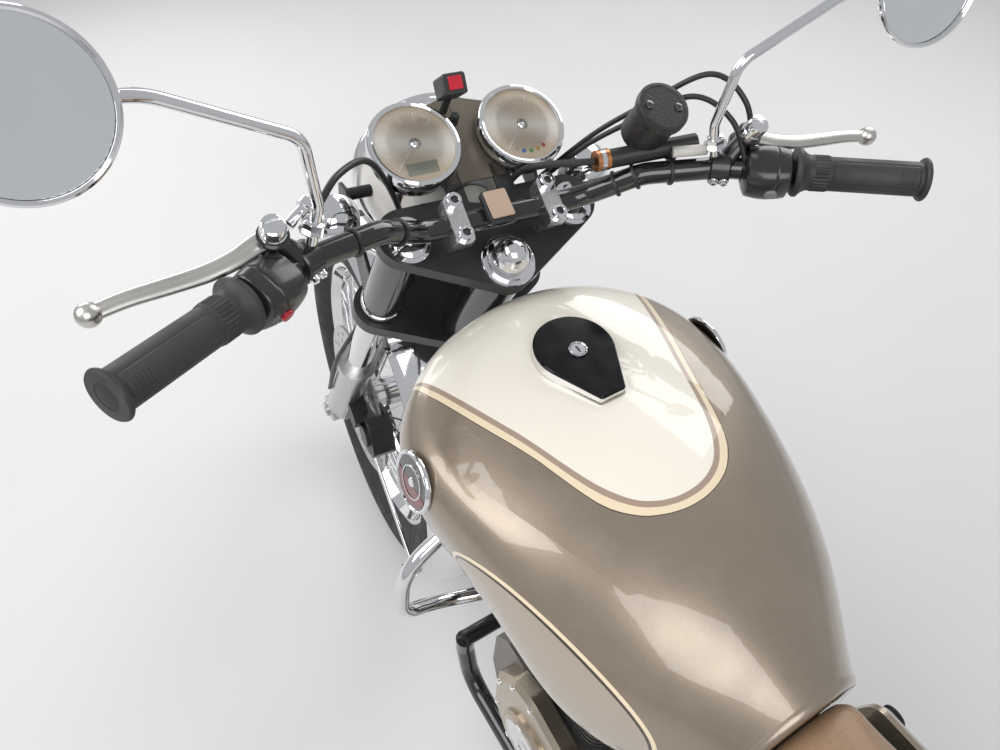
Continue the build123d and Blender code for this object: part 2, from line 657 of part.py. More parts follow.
def spine():
    """The steering head with its backbone and down tube."""
    x0, _, z0 = from_stem((0, 0, LOWER_YOKE_Z + 14))
    head_low = (x0, 0, z0)
    x1, _, z1 = from_stem((0, 0, -YOKE_THICKNESS / 2 - 2))
    head = rod(head_low, (x1, 0, z1), HEAD_TUBE_RADIUS)
    bore = rod(from_stem((0, 0, -400)), from_stem((0, 0, 60)), STEM_RADIUS + RUNNING_GAP)
    root = from_stem((0, 0, LOWER_YOKE_Z + 70))
    backbone = bent([root, (900, 0, SPINE_HEIGHT), (620, 0, SPINE_HEIGHT), SPINE_END], [120, 120], SPINE_RADIUS)
    low = from_stem((0, 0, LOWER_YOKE_Z + 76))
    down = bent([low, DOWN_TUBE_KNEE, DOWN_TUBE_FOOT], [90], DOWN_TUBE_RADIUS)
    x, z = HEAD_X, SPINE_HEIGHT
    gusset = slab([(x - 12, z + 24), (x + 32, z + 48), (x + 32, z - 22), (x + 8, z - 62), (x - 12, z - 102)], (-5, 5))
    rubbers = [disc(at, (RUNNING_GAP - TUNNEL_HALF_WIDTH, TUNNEL_HALF_WIDTH - RUNNING_GAP), 11)
               for at in TANK_MOUNTS]
    hangers = both(slab([(893, 306), (893, 340), (950, 345), (955, 300)], (22, 28), 4))
    cross = disc((DOWN_TUBE_FOOT[0], DOWN_TUBE_FOOT[2]), (-CRADLE_SPREAD, CRADLE_SPREAD), 13)
    return Part() + head + backbone + down + gusset + hangers + rubbers + cross - bore


def cradle():
    """The two lower tubes, the pivot plates and the cross members behind the engine."""
    tube = bent(
        [
            (DOWN_TUBE_FOOT[0], CRADLE_SPREAD, DOWN_TUBE_FOOT[2] - 13 - CRADLE_RADIUS),
            (DOWN_TUBE_FOOT[0] - 20, CRADLE_SPREAD, CRADLE_HEIGHT),
            (470, CRADLE_SPREAD, CRADLE_HEIGHT),
            (PIVOT[0] - 12, CRADLE_SPREAD, PIVOT[2] - 42),
        ],
        [50, 60],
        CRADLE_RADIUS,
    )
    joint = rod(
        (DOWN_TUBE_FOOT[0], CRADLE_SPREAD, DOWN_TUBE_FOOT[2]),
        (DOWN_TUBE_FOOT[0], CRADLE_SPREAD, DOWN_TUBE_FOOT[2] - 13 - CRADLE_RADIUS),
        CRADLE_RADIUS,
    )
    plate = slab(
        [(454, 300), (454, 430), (470, 520), (505, 520), (530, 420), (530, 330), (576, 320), (576, 268),
         (500, 268)],
        (CRADLE_SPREAD - 6, CRADLE_SPREAD + 6),
        10,
    )
    hole = disc((PIVOT[0], PIVOT[2]), (80, 130), PIVOT_RADIUS + 0.05)
    riser = rod((488, CRADLE_SPREAD, 505), (SPINE_END[0] + 6, 60, SPINE_END[2]), 12)
    stand_lug = slab([(412, 212), (412, 256), (446, 256), (484, 200), (470, 180)],
                     (CRADLE_SPREAD - 8, CRADLE_SPREAD), 3)
    side = tube + joint + (plate - hole) + riser + stand_lug
    cross = disc((470, 205), (-CRADLE_SPREAD, CRADLE_SPREAD), 12)
    top = disc((SPINE_END[0], SPINE_END[2]), (-64, 64), 14)
    side_lug = block((526, 554), (CRADLE_SPREAD + 6, SIDE_PIVOT[1] - 9 - RUNNING_GAP), (190, 226), 4)
    return Part() + both(side) + cross + top + side_lug


def seat_rails():
    """The rear loop: rails, stays and the shock absorbers' top mounts."""
    x = REAR_AXLE_X
    low, mid, top = RAIL_HEIGHT, RAIL_HEIGHT + 6, RAIL_HEIGHT + 16
    half = [
        (520, 46, low - 16), (430, RAIL_SPREAD, low), (x + 120, RAIL_SPREAD, mid), (x - 60, RAIL_SPREAD, top),
        (x - 92, 40, top + 2),
    ]
    rail = half + [(px, -py, pz) for px, py, pz in reversed(half)]
    loop = bent(rail, [60, 150, 100, 36, 36, 100, 150, 60], RAIL_RADIUS)
    stay = rod((478, CRADLE_SPREAD - 4, 512), (x + 160, RAIL_SPREAD, low - 2), 10)
    boss = disc(SHOCK_TOP, (RAIL_SPREAD - 4, SHOCK_Y - 16), 12)
    pin = disc(SHOCK_TOP, (SHOCK_Y - 18, SHOCK_Y + 18), 6)
    link = rod((SHOCK_TOP[0], RAIL_SPREAD, SHOCK_TOP[1]), (SHOCK_TOP[0], RAIL_SPREAD, mid), 12)
    bridge = disc((x, mid), (-RAIL_SPREAD, RAIL_SPREAD), 8)
    return Part() + loop + bridge + both(stay + boss + pin + link)


def shocks():
    """Two rear shock absorbers: eyes, chromed body and exposed spring."""
    run = Vector(SHOCK_TOP[0] - SHOCK_BOTTOM[0], 0, SHOCK_TOP[1] - SHOCK_BOTTOM[1])
    plane = Plane(origin=(SHOCK_BOTTOM[0], SHOCK_Y, SHOCK_BOTTOM[1]), z_dir=run, x_dir=(0, 1, 0))
    length = run.length
    profile = [(0, 8), (11, 8), (11, 34), (22, 40), (22, 48), (17, 50)]
    coils = 13
    pitch = (length - 118) / coils
    for i in range(coils):
        z = 50 + pitch * i
        profile += [(26, z + 0.25 * pitch), (26, z + 0.6 * pitch), (17, z + 0.85 * pitch)]
    profile += [(17, length - 66), (27, length - 64), (27, length - 24), (11, length - 18), (11, length - 8),
                (0, length - 8)]
    outline = make_face(Polyline(*[(r, 0, z) for r, z in profile], close=True))
    body = revolve(outline, Axis.Z, clean=False)
    eyes = [
        disc(at, (SHOCK_Y - 12, SHOCK_Y + 12), SHOCK_EYE) for at in (SHOCK_TOP, SHOCK_BOTTOM)
    ]
    bores = [disc(at, (SHOCK_Y - 20, SHOCK_Y + 20), 6) for at in (SHOCK_TOP, SHOCK_BOTTOM)]
    return both(Part() + plane.location * body + eyes - bores)


def swingarm():
    """The rear fork: box arms, cross tube, pivot shaft, axle plates and chain guard."""
    axle = (REAR_AXLE_X, REAR_AXLE_HEIGHT)
    x = REAR_AXLE_X
    arm = slab(
        [(x - 38, axle[1] - 16), (x - 38, axle[1] + 16), (x + 30, axle[1] + 22), (ARM_END, PIVOT[2] + 20),
         (ARM_END, PIVOT[2] - 20), (x + 30, axle[1] - 22)],
        (ARM_Y - 12, ARM_Y + 12), 4,
    )
    slot = disc(axle, (60, 160), REAR_AXLE_RADIUS + 0.05)
    lug = slab([(x + 2, axle[1] + 10), (x + 10, SHOCK_BOTTOM[1] + 14), (x + 38, SHOCK_BOTTOM[1] + 14),
                (x + 56, axle[1] + 10)], (ARM_Y + 2, ARM_Y + 12), 3)
    pin = disc(SHOCK_BOTTOM, (ARM_Y + 4, SHOCK_Y + 18), 6)
    boss = disc((PIVOT[0], PIVOT[2]), (60, CRADLE_SPREAD - 7), 22)
    elbow = slab([(ARM_END - 48, PIVOT[2] - 18), (ARM_END - 48, PIVOT[2] + 18), (PIVOT[0], PIVOT[2] + 18),
                  (PIVOT[0], PIVOT[2] - 18)], (ARM_Y - 20, CRADLE_SPREAD - 7))
    cross = disc((x + REAR_TYRE_RADIUS + 44, PIVOT[2] - 2), (-ARM_Y, ARM_Y), 15)
    shaft = disc((PIVOT[0], PIVOT[2]), (-CRADLE_SPREAD - 16, CRADLE_SPREAD + 16), PIVOT_RADIUS)
    return Part() + both(arm - slot + lug + pin + boss + elbow) + cross + shaft


def rear_axle():
    """The rear axle, its spacers and nuts, in the arms' ends."""
    axle = (REAR_AXLE_X, REAR_AXLE_HEIGHT)
    spindle = disc(axle, (-ARM_Y - 30, ARM_Y + 30), REAR_AXLE_RADIUS)
    spacers = [disc(axle, (REAR_HUB_HALF + 8, ARM_Y - 12), 15), disc(axle, (12 - ARM_Y, -REAR_HUB_HALF - 12), 15)]
    spacers.append(disc(axle, (-REAR_HUB_HALF - 12, -REAR_HUB_HALF - 4), REAR_HUB_RADIUS - 6))
    nuts = [disc(axle, (s * (ARM_Y + 18) - 6, s * (ARM_Y + 18) + 6), 15) for s in (1, -1)]
    return Part() + spindle + spacers + nuts


def engine_case():
    """The crankcase: one closed casting with its sump, necks and side faces."""
    outline = [
        (548, 330), (548, DECK_HEIGHT - 22), (600, DECK_HEIGHT), (690, DECK_HEIGHT), (860, DECK_HEIGHT),
        (884, DECK_HEIGHT - 32),
        (888, 330), (860, 240), (820, CASE_BOTTOM), (640, CASE_BOTTOM), (575, 250),
    ]
    case = slab(outline, (-CASE_HALF_WIDTH, CASE_HALF_WIDTH), 16)
    ribs = [
        slab([(660 + 40 * i, CASE_BOTTOM - 5), (660 + 40 * i, CASE_BOTTOM + 10),
              (666 + 40 * i, CASE_BOTTOM + 10), (666 + 40 * i, CASE_BOTTOM - 5)], (-60, 60))
        for i in range(4)
    ]
    mounts = disc((905, 322), (-22, 22), 12)
    foot = slab([(870, 306), (870, 352), (905, 334), (905, 310)], (-22, 22))
    rear = disc(REAR_MOUNT, (6 - CRADLE_SPREAD, CRADLE_SPREAD - 6), 9)
    rear += slab([(497, 469), (497, 489), (600, 470), (590, 440)], (-55, 55), 3)
    pocket = block((500, FRONT_SPROCKET[0] + 52), (CHAIN_Y - 13, 100), (330, 447))
    sprocket = disc(FRONT_SPROCKET, (CHAIN_Y - 14, CHAIN_Y + 3), FRONT_SPROCKET_RADIUS - CHAIN_HEIGHT / 2 - 0.2)
    return Part() + case + ribs + mounts + foot + rear - pocket + sprocket


def case_covers():
    """The polished covers: alternator and sprocket at left, clutch and kick shaft at right."""
    y = CASE_HALF_WIDTH
    left = slab(
        [(600, 300), (600, 400), (640, 440), (700, 462), (770, 478), (812, 462), (846, 410),
         (846, 320), (810, 262), (700, 250), (640, 262)],
        (y, y + 26), 30,
    )
    left = chamfer(left.faces().sort_by(Axis.Y)[-1].edges(), 7)
    boss = disc((CRANK[0] + 8, CRANK[2] + 8), (y + 26, y + 34), 58)
    boss = chamfer(boss.faces().sort_by(Axis.Y)[-1].edges(), 5)
    sprocket = slab([(548, 322), (548, 436), (596, 452), (597, 322)], (y - 12, y + 14), 10)
    right = slab(
        [(590, 300), (600, 420), (650, 448), (760, 440), (850, 400), (850, 300), (800, 250), (650, 250)],
        (-y - 28, -y), 34,
    )
    right = chamfer(right.faces().sort_by(Axis.Y)[0].edges(), 8)
    clutch = disc((655, 360), (-y - 40, -y - 28), 62)
    clutch = chamfer(clutch.faces().sort_by(Axis.Y)[0].edges(), 6)
    return [left + boss, sprocket, right + clutch]


def cylinder():
    """The air-cooled barrel and head, with their stacked fins and rocker cover."""
    top = HEAD_TOP
    barrel = Pos(BORE_CENTRE, 0, DECK_HEIGHT) * extrude(Circle(BARREL_RADIUS), top - DECK_HEIGHT)
    core = Pos(BORE_CENTRE, 0, DECK_HEIGHT) * extrude(RectangleRounded(118, 112, 20), top - DECK_HEIGHT)
    fins = []
    for i in range(BARREL_FINS + HEAD_FINS):
        in_head = i >= BARREL_FINS
        half_x = FIN_HALF_LENGTH + (6 if in_head else 0)
        half_y = FIN_HALF_WIDTH + (6 if in_head else 0)
        z = DECK_HEIGHT + 8 + FIN_PITCH * i
        fins.append(
            Pos(BORE_CENTRE, 0, z) * extrude(RectangleRounded(2 * half_x, 2 * half_y, 26), FIN_THICKNESS)
        )
    cover = Pos(BORE_CENTRE, 0, top) * extrude(RectangleRounded(150, 100, 20), ROCKER_HEIGHT)
    cover = chamfer(cover.faces().sort_by(Axis.Z)[-1].edges(), 8)
    caps = [Pos(BORE_CENTRE + s * 42, 0, top + ROCKER_HEIGHT) * extrude(Circle(20), ROCKER_CAP_HEIGHT) for s in (1, -1)]
    intake = rod((BORE_CENTRE - 60, 0, top - 34), (BORE_CENTRE - 112, 0, top - 30), 25)
    exhaust = rod((BORE_CENTRE + 60, -22, top - 40), (BORE_CENTRE + 108, -26, top - 46), 26)
    return Part() + barrel + core + fins + cover + caps + intake + exhaust


def carburettor():
    """The carburettor between the intake stub and the airbox, with its float bowl."""
    x, _, z = INTAKE
    throat = rod((x, 0, z), (x - 118, 0, z - 4), 27)
    body = Pos(x - 52, 0, z) * fillet(Box(52, 66, 66).edges().filter_by(Axis.X), 10)
    bowl = Pos(x - 52, 0, z - 74) * extrude(Circle(24), 42)
    top = Pos(x - 52, 0, z + 33) * extrude(Circle(26), 22)
    bell = disc((x - 52, z + 8), (33, 44), 15)
    return Part() + throat + body + bowl + top + bell


def airbox():
    """The airbox behind the carburettor and the electrics tray under the seat."""
    x, _, z = INTAKE
    box = block((x - 262, x - 118), (-66, 66), (z - 88, z + 40), 14)
    return box


def side_covers():
    """The two side covers that hide the airbox."""
    z = RAIL_HEIGHT
    outline = [(372, z - 6), (548, z - 18), (560, z - 66), (500, z - 176), (470, z - 184), (400, z - 146),
               (362, z - 66)]
    panel = slab(outline, (118, 130), 18)
    panel = chamfer(panel.faces().sort_by(Axis.Y)[-1].edges(), 6)
    peg = disc((452, z - 66), (66, 118), 8)
    return both(panel + peg)


def exhaust():
    """The header pipe, down in front of the engine and back to the silencer at right."""
    x, y, z = EXHAUST
    pipe = bent(
        [(x, y, z), (x + 62, y - 8, z - 10), (x + 88, -80, 480), (x + 64, -143, 330), (x + 8, -146, 232),
         (420, -148, 232), (330, -164, 272)],
        [36, 90, 90, 60, 140],
        20,
    )
    flange = rod((x - 2, y, z), (x + 8, y - 1, z - 1), 30)
    start, end = Vector(330, -164, 272), Vector(REAR_AXLE_X - 190, -200, 352)
    plane = Plane(origin=start, z_dir=end - start, x_dir=(0, 1, 0))
    length = (end - start).length
    profile = [(0, 0), (20, 0), (24, 20), (46, 90), (48, 120), (48, length - 60), (44, length - 20),
               (38, length), (22, length), (22, length - 40), (0, length - 40)]
    silencer = revolve(make_face(Polyline(*[(r, 0, w) for r, w in profile], close=True)), Axis.Z)
    return Part() + pipe + flange + plane.location * silencer


def tank():
    """The fuel tank: a crowned loft over a tunnel, with its filler neck."""
    solid = loft([body_section(row, SPINE_HEIGHT, corner=TANK_CORNER) for row in TANK_SECTIONS])
    low, width = TANK_UNDERSIDE - 80, (-TUNNEL_HALF_WIDTH, TUNNEL_HALF_WIDTH)
    tunnel = block((TUNNEL_STEP, 1100), width, (low, TUNNEL_TOP))
    tunnel += block((500, TUNNEL_STEP + 1), width, (low, TUNNEL_TOP - TUNNEL_DROP))
    seat = cap_seat().location
    neck = seat * Pos(FILLER_SHIFT, 0, -FILLER_DEPTH) * extrude(Circle(FILLER_RADIUS), 80)
    ledge = seat * extrude(cap_outline(CAP_LEDGE), 60)
    return solid - tunnel - ledge - neck


def cap_seat():
    """The plane on which the cap lies, at the middle of its length."""
    middle = (CAP_FRONT + CAP_REAR) / 2
    return Plane(
        origin=(middle, 0, CAP_TOP - CAP_HEIGHT), x_dir=(cos(radians(CAP_TILT)), 0, -sin(radians(CAP_TILT))),
        z_dir=(sin(radians(CAP_TILT)), 0, cos(radians(CAP_TILT))),
    )


def cap_outline(margin=0.0):
    """The teardrop cap: a round front and straight sides to a cut-off latch end."""
    half = (CAP_FRONT - CAP_REAR) / 2
    corner = 4.0
    heel = -half + corner
    circles = Pos(half - CAP_HALF_WIDTH, 0) * Circle(CAP_HALF_WIDTH + margin)
    circles += Pos(heel, CAP_LATCH_HALF - corner) * Circle(corner + margin)
    circles += Pos(heel, corner - CAP_LATCH_HALF) * Circle(corner + margin)
    return make_hull(circles.edges())


def fuel_cap():
    """The hinged cap: domed plate on a chromed wall, lock boss, plug and hinge ears."""
    lid = extrude(cap_outline(), CAP_HEIGHT)
    lid = chamfer(lid.faces().sort_by(Axis.Z)[-1].edges(), 1.5)
    lock = Pos(6, 0, CAP_HEIGHT) * extrude(Circle(9), 1.2)
    plug = Pos(FILLER_SHIFT, 0, -18) * extrude(Circle(CAP_PLUG_RADIUS), 18)
    plug = chamfer(plug.faces().sort_by(Axis.Z)[0].edges(), 4)
    return cap_seat().location * Pos(0, 0, RUNNING_GAP) * (lid + lock + plug)


def cap_hinge():
    """The cap's hinge line: a point on it, at the front edge of the lid."""
    return (CAP_FRONT - 1.0, 0.0, CAP_TOP - CAP_HEIGHT + 2.5)


def seat():
    """The saddle: a crowned loft, high at the nose and the tail."""
    sections = [body_section(row, RAIL_HEIGHT, corner=12, crown_angle=SEAT_CROWN_ANGLE) for row in SEAT_SECTIONS]
    return loft(sections)


def engine_guard():
    """The chromed guard loops in front of the engine, clamped to the down tube."""
    x, z = GUARD_X, GUARD_TOP
    loop = bent(
        [(x + 6, 4, z), (x + 2, 62, z), (x - 10, 174, z - 58), (x - 20, 188, z - 148), (x - 8, 120, z - 206),
         (x - 48, 4, z - 206)],
        [56, 78, 54, 66],
        GUARD_RADIUS,
    )
    return both(loop)


def rear_mudguard():
    """The chromed rear mudguard on its stays to the rails."""
    guard = mudguard(REAR_TYRE_RADIUS + 30, REAR_TYRE_WIDTH + 30, -76, 146, 30)
    return Pos(REAR_AXLE_X, 0, REAR_AXLE_HEIGHT) * guard


def tail_lamp(guard):
    """The round tail lamp on its bracket above the mudguard's end."""
    r = TAIL_LAMP_RADIUS
    profile = [(0, -30), (r * 0.7, -28), (r, -4), (r - 4, 14), (r * 0.7, 20), (r * 0.35, 23), (0, 24)]
    lamp = turned(profile, Plane(origin=TAIL_LAMP, z_dir=(-1, 0, 0.1)).location)
    x, y, z = TAIL_LAMP
    bracket = slab([(x + 20, z + 12), (x + 72, z - 10), (x + 72, z - 60), (x + 20, z - 20)], (-24, 24), 4)
    room = disc((REAR_AXLE_X, REAR_AXLE_HEIGHT), (-40, 40), REAR_TYRE_RADIUS + 29)
    return lamp + bracket - guard - room


def rear_signals(rails):
    """The rear turn signals on stalks from the rails' end."""
    x = REAR_AXLE_X
    z = RAIL_HEIGHT
    lamp = signal((x - 128, 150, z - 6), (-1, 0, 0))
    stalk = rod((x - 104, 150, z - 5), (x - 70, 86, z + 12), 6)
    return [side - rails for side in both(lamp + stalk)]


def chain():
    """The drive chain as one closed loop round both sprockets."""
    def loop(extra):
        return make_hull(
            (
                Circle(REAR_SPROCKET_RADIUS + extra)
                + Pos(FRONT_SPROCKET[0] - REAR_AXLE_X, FRONT_SPROCKET[1] - REAR_AXLE_HEIGHT)
                * Circle(FRONT_SPROCKET_RADIUS + extra)
            ).edges()
        )
    # the loop is drawn flat and stood up with its own y as the machine's z
    face = loop(CHAIN_HEIGHT / 2) - loop(-CHAIN_HEIGHT / 2)
    solid = extrude(face, CHAIN_WIDTH / 2, both=True)
    return Pos(REAR_AXLE_X, CHAIN_Y, REAR_AXLE_HEIGHT) * Rot(90, 0, 0) * solid


def rear_sprocket():
    """The toothed rear sprocket with its lightening holes."""
    tip = REAR_SPROCKET_RADIUS - CHAIN_HEIGHT / 2 - 2
    wheel = disc((0, 0), (REAR_HUB_HALF, REAR_HUB_HALF + 6), tip, 34)
    gaps = []
    for i in range(SPROCKET_TEETH):
        angle = 2 * pi * i / SPROCKET_TEETH
        spot = (tip * sin(angle), tip * cos(angle))
        gaps.append(disc(spot, (REAR_HUB_HALF - 1, REAR_HUB_HALF + 7), 4.2))
    holes = [
        disc((58 * sin(2 * pi * i / 6), 58 * cos(2 * pi * i / 6)), (REAR_HUB_HALF - 1, REAR_HUB_HALF + 7), 14)
        for i in range(6)
    ]
    return wheel - gaps - holes


def foot_controls():
    """Rider pegs, shift lever, brake pedal and the folded kick starter."""
    peg = rod((558, CRADLE_SPREAD + 6, 292), (556, 232, 296), 11)
    pegs = both(peg)
    y = CASE_HALF_WIDTH + 14
    shift = bent([(578, y, 340), (578, y + 32, 340), (690, 142, 330)], [14], 5)
    shift += rod((690, 136, 330), (690, 182, 332), 8)
    pedal = bent([(548, -CRADLE_SPREAD - 6, 300), (600, -168, 300), (716, -178, 300)], [40], 6)
    pedal += rod((712, -168, 300), (712, -204, 301), 9)
    return pegs, shift, pedal


def kick_starter():
    """The kick starter, folded up behind the right engine cover."""
    crank = bent(
        [(622, -CASE_HALF_WIDTH - 40, 330), (622, -CASE_HALF_WIDTH - 58, 330), (560, -158, 420),
         (534, -160, 520)],
        [14, 40],
        7,
    )
    pedal = rod((534, -160, 520), (530, -226, 524), 9)
    return crank + pedal


def centre_stand():
    """The centre stand: two splayed legs on a cross tube, with flat feet and a tread."""
    x, z = STAND_PIVOT
    leg = rod((x, 76, z), (STAND_FOOT_X, STAND_SPREAD, 12), 11)
    foot = block((STAND_FOOT_X - 36, STAND_FOOT_X + 28), (STAND_SPREAD - 17, STAND_SPREAD + 17), (0, 8), 9)
    web = slab([(STAND_FOOT_X - 24, 6), (x + 4, 84), (x + 20, 84), (STAND_FOOT_X + 16, 6)],
               (STAND_SPREAD - 12, STAND_SPREAD - 6))
    boss = disc((x, z), (62, 95), 15)
    cross = disc((x + 10, 150), (-98, 98), 10)
    tube = disc((x, z), (-64, 64), 12)
    whole = Part() + both(leg + foot + web + boss) + cross + tube
    under = block((0, 900), (-300, 300), (-60, 0))
    return whole - under


def side_stand():
    """The side stand, folded back under the left side, with its foot."""
    x, y, z = SIDE_PIVOT
    leg = rod((x, y, z), (x - 176, y + 14, z + 6), 9)
    foot = Pos(x - 183, y + 18, z + 7) * Box(34, 40, 9)
    boss = disc((x, z), (y - 9, y + 9), 15)
    return leg + foot + boss


def steering_parts():
    """Every steering node, still in the stem frame."""
    bar = bar_solid()
    clamps = risers(bar)
    cups = gauges()
    tubes = fork_tubes()
    sliders = fork_sliders()
    shell, rim, glass = headlight()
    housings = perch_and_switches(bar)
    grip = along_bar(GRIP_LENGTH).location * extrude(Circle(GRIP_RADIUS), GRIP_LENGTH)
    flange = along_bar(GRIP_LENGTH).location * extrude(Circle(22), 8)
    end = along_bar(8).location * extrude(Circle(18), 8)
    grips = [g - bar for g in both(grip + flange + end)]
    bowl, glass_plate = mirror_bowl()
    stem = mirror_stem()
    lamp = signal((96, 150, -30), FORWARD)
    stalk = rod((55, 104, -40), (88, 150, -34), 6)
    signals = [side - tubes for side in both(lamp + stalk)]
    return {
        "steering_yokes": yokes(),
        "fork_tubes": tubes,
        "fork_sliders": sliders,
        "handlebar": bar,
        "bar_clamps": clamps,
        "gauges": cups,
        "gauge_plate": gauge_plate(cups),
        "headlight_shell": shell - lamp_ears(),
        "headlight_rim": rim,
        "headlight_glass": glass,
        "switch_housings": housings,
        "control_levers": both(lever()),
        "grips": grips,
        "mirrors": [side - housings - bar for side in both(bowl + stem)],
        "mirror_glasses": both(glass_plate),
        "master_cylinder": master_cylinder(bar),
        "front_signals": signals,
        "front_mudguard": front_mudguard() - sliders,
        "brake_caliper": caliper(sliders),
    }


def chassis_parts():
    """Every node of the machine's main body, each cut to what it is seated on."""
    backbone = spine()
    lower = cradle() - backbone
    arm = swingarm()
    rails = seat_rails() - lower - backbone
    barrel = cylinder()
    case = engine_case()
    guard = rear_mudguard() - rails
    mixer = carburettor() - barrel
    filter_box = airbox() - lower - backbone - mixer
    return {
        "frame_spine": backbone,
        "frame_cradle": lower,
        "seat_rails": rails,
        "swingarm": arm,
        "rear_axle": rear_axle(),
        "rear_shocks": shocks(),
        "engine_case": case,
        "engine_covers": [cover - case - lower for cover in flat(case_covers())],
        "cylinder": barrel,
        "carburettor": mixer,
        "airbox": filter_box,
        "side_covers": side_covers(),
        "exhaust": exhaust() - barrel,
        "fuel_tank": tank(),
        "seat": seat() - rails,
        "engine_guard": [side - backbone for side in engine_guard()],
        "rear_mudguard": guard,
        "tail_lamp": tail_lamp(guard),
        "rear_signals": rear_signals(rails),
        "drive_chain": chain(),
        "foot_controls": [control - lower for control in flat(foot_controls())],
        "kick_starter": kick_starter(),
    }


def flat(shapes):
    """All solids of a nested list of shapes."""
    found = []
    for shape in shapes if isinstance(shapes, (list, tuple)) else [shapes]:
        found += flat(shape) if isinstance(shape, (list, tuple)) else shape.solids()
    return found


def write(name, shapes, place):
    """Put a node in the row's frame and write its file."""
    solids = [Pos(-LENGTH_CENTRE, 0, 0) * place * solid for solid in flat(shapes)]
    export_step(Compound(solids), f"parts/{name}.step")


def main():
    """Build and write every node."""
    os.makedirs("parts", exist_ok=True)
    for name, shapes in steering_parts().items():
        write(name, shapes, STEERED)
    for name, shapes in chassis_parts().items():
        write(name, shapes, Location())
    front = STEERED * Pos(FORK_OFFSET, 0, FRONT_AXLE_Z)
    rear = Pos(REAR_AXLE_X, 0, REAR_AXLE_HEIGHT)
    front_wheel = spoked_wheel(FRONT_BEAD_RADIUS, FRONT_HUB_RADIUS, FRONT_HUB_HALF, SPOKES, HUB_BORE)
    rear_wheel = spoked_wheel(
        REAR_BEAD_RADIUS, REAR_HUB_RADIUS, REAR_HUB_HALF, SPOKES, REAR_AXLE_RADIUS + RUNNING_GAP
    )
    write("front_wheel", front_wheel, front)
    write("front_tyre", tyre(FRONT_TYRE_RADIUS, FRONT_TYRE_WIDTH, FRONT_BEAD_RADIUS) - front_wheel, front)
    write("front_disc", brake_disc(DISC_RADIUS, DISC_INNER, FRONT_HUB_HALF), front)
    write("rear_wheel", rear_wheel, rear)
    write("rear_tyre", tyre(REAR_TYRE_RADIUS, REAR_TYRE_WIDTH, REAR_BEAD_RADIUS) - rear_wheel, rear)
    write("rear_sprocket", rear_sprocket(), rear)
    write("fuel_cap", fuel_cap(), Location())
    write("centre_stand", centre_stand(), Location())
    write("side_stand", side_stand(), Location())


main()
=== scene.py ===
"""Dressed model of a retro roadster: paint, chrome, rubber and trim round the fixed frame.

All lengths are metres in the machine's frame: +X to the front wheel, +Y to the rider's left, +Z up.
"""

from __future__ import annotations

import json
import logging
import math
from dataclasses import dataclass
from enum import Enum
from typing import ClassVar, Sequence

import bmesh
import bpy
import numpy as np
from mathutils import Matrix, Vector

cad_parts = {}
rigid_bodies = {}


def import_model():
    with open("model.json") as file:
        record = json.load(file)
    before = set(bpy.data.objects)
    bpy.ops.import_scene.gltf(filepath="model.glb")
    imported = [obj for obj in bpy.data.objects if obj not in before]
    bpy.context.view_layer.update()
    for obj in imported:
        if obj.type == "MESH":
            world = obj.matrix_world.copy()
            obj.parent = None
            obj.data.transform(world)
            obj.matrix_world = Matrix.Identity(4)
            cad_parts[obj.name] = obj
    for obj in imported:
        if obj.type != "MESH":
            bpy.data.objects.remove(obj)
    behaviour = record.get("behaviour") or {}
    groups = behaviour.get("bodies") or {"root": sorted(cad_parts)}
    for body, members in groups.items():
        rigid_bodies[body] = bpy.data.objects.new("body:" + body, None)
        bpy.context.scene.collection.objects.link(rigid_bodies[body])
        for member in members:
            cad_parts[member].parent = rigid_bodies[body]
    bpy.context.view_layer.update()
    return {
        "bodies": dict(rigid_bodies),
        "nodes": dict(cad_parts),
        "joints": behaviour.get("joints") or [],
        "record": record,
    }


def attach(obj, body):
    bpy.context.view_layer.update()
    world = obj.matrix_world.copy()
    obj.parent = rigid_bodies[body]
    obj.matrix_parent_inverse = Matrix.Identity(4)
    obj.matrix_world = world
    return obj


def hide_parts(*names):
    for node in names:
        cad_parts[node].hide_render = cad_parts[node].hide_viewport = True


log = logging.getLogger("roadster")
Piece = bpy.types.Object
Material = bpy.types.Material
Socket = bpy.types.NodeSocket
Colour = tuple[float, float, float]
Point = tuple[float, float, float]
MM = 0.001
CASTER = 27.5  # the steering axis's lean from upright, in degrees
REAR_AXLE = 700.0  # millimetres from the rear axle to the machine's origin
SIDES = ((1, "left"), (-1, "right"))


class Body(str, Enum):
    """The rigid bodies that pieces ride on."""

    CHASSIS = "chassis"
    STEERING = "steering"
    FRONT_WHEEL = "front_wheel_set"
    REAR_WHEEL = "rear_wheel_set"
    CAP = "fuel_cap"


def unit(vector: np.ndarray) -> np.ndarray:
    """Return the vector, or each row of them, divided by its length."""
    array = np.asarray(vector, dtype=float)
    return array / np.linalg.norm(array, axis=-1, keepdims=True)


@dataclass(frozen=True)
class Place:
    """A right-handed frame: an origin and three unit axes as rows."""

    origin: np.ndarray
    axes: np.ndarray

    def put(self, points: np.ndarray) -> np.ndarray:
        """Carry local points into the machine's frame: origin + p . axes."""
        return self.origin + np.asarray(points, dtype=float) @ self.axes

    def way(self, direction: Sequence[float]) -> np.ndarray:
        """Carry a local direction into the machine's frame."""
        return np.asarray(direction, dtype=float) @ self.axes

    def at(self, origin: Sequence[float], normal: Sequence[float],
           across: Sequence[float] = (0, 1, 0)) -> Place:
        """Return a frame at a local point whose third axis is a local normal.

        Args:
            origin: the local point.
            normal: the local direction of the new third axis.
            across: a local direction that the new first axis leans to.

        Returns:
            The new frame in the machine's frame.
        """
        third = unit(self.way(normal))
        lean = self.way(across)
        first = unit(lean - third * np.dot(lean, third))
        return Place(self.put(origin), np.stack([first, np.cross(third, first), third]))


WORLD = Place(np.zeros(3), np.eye(3))


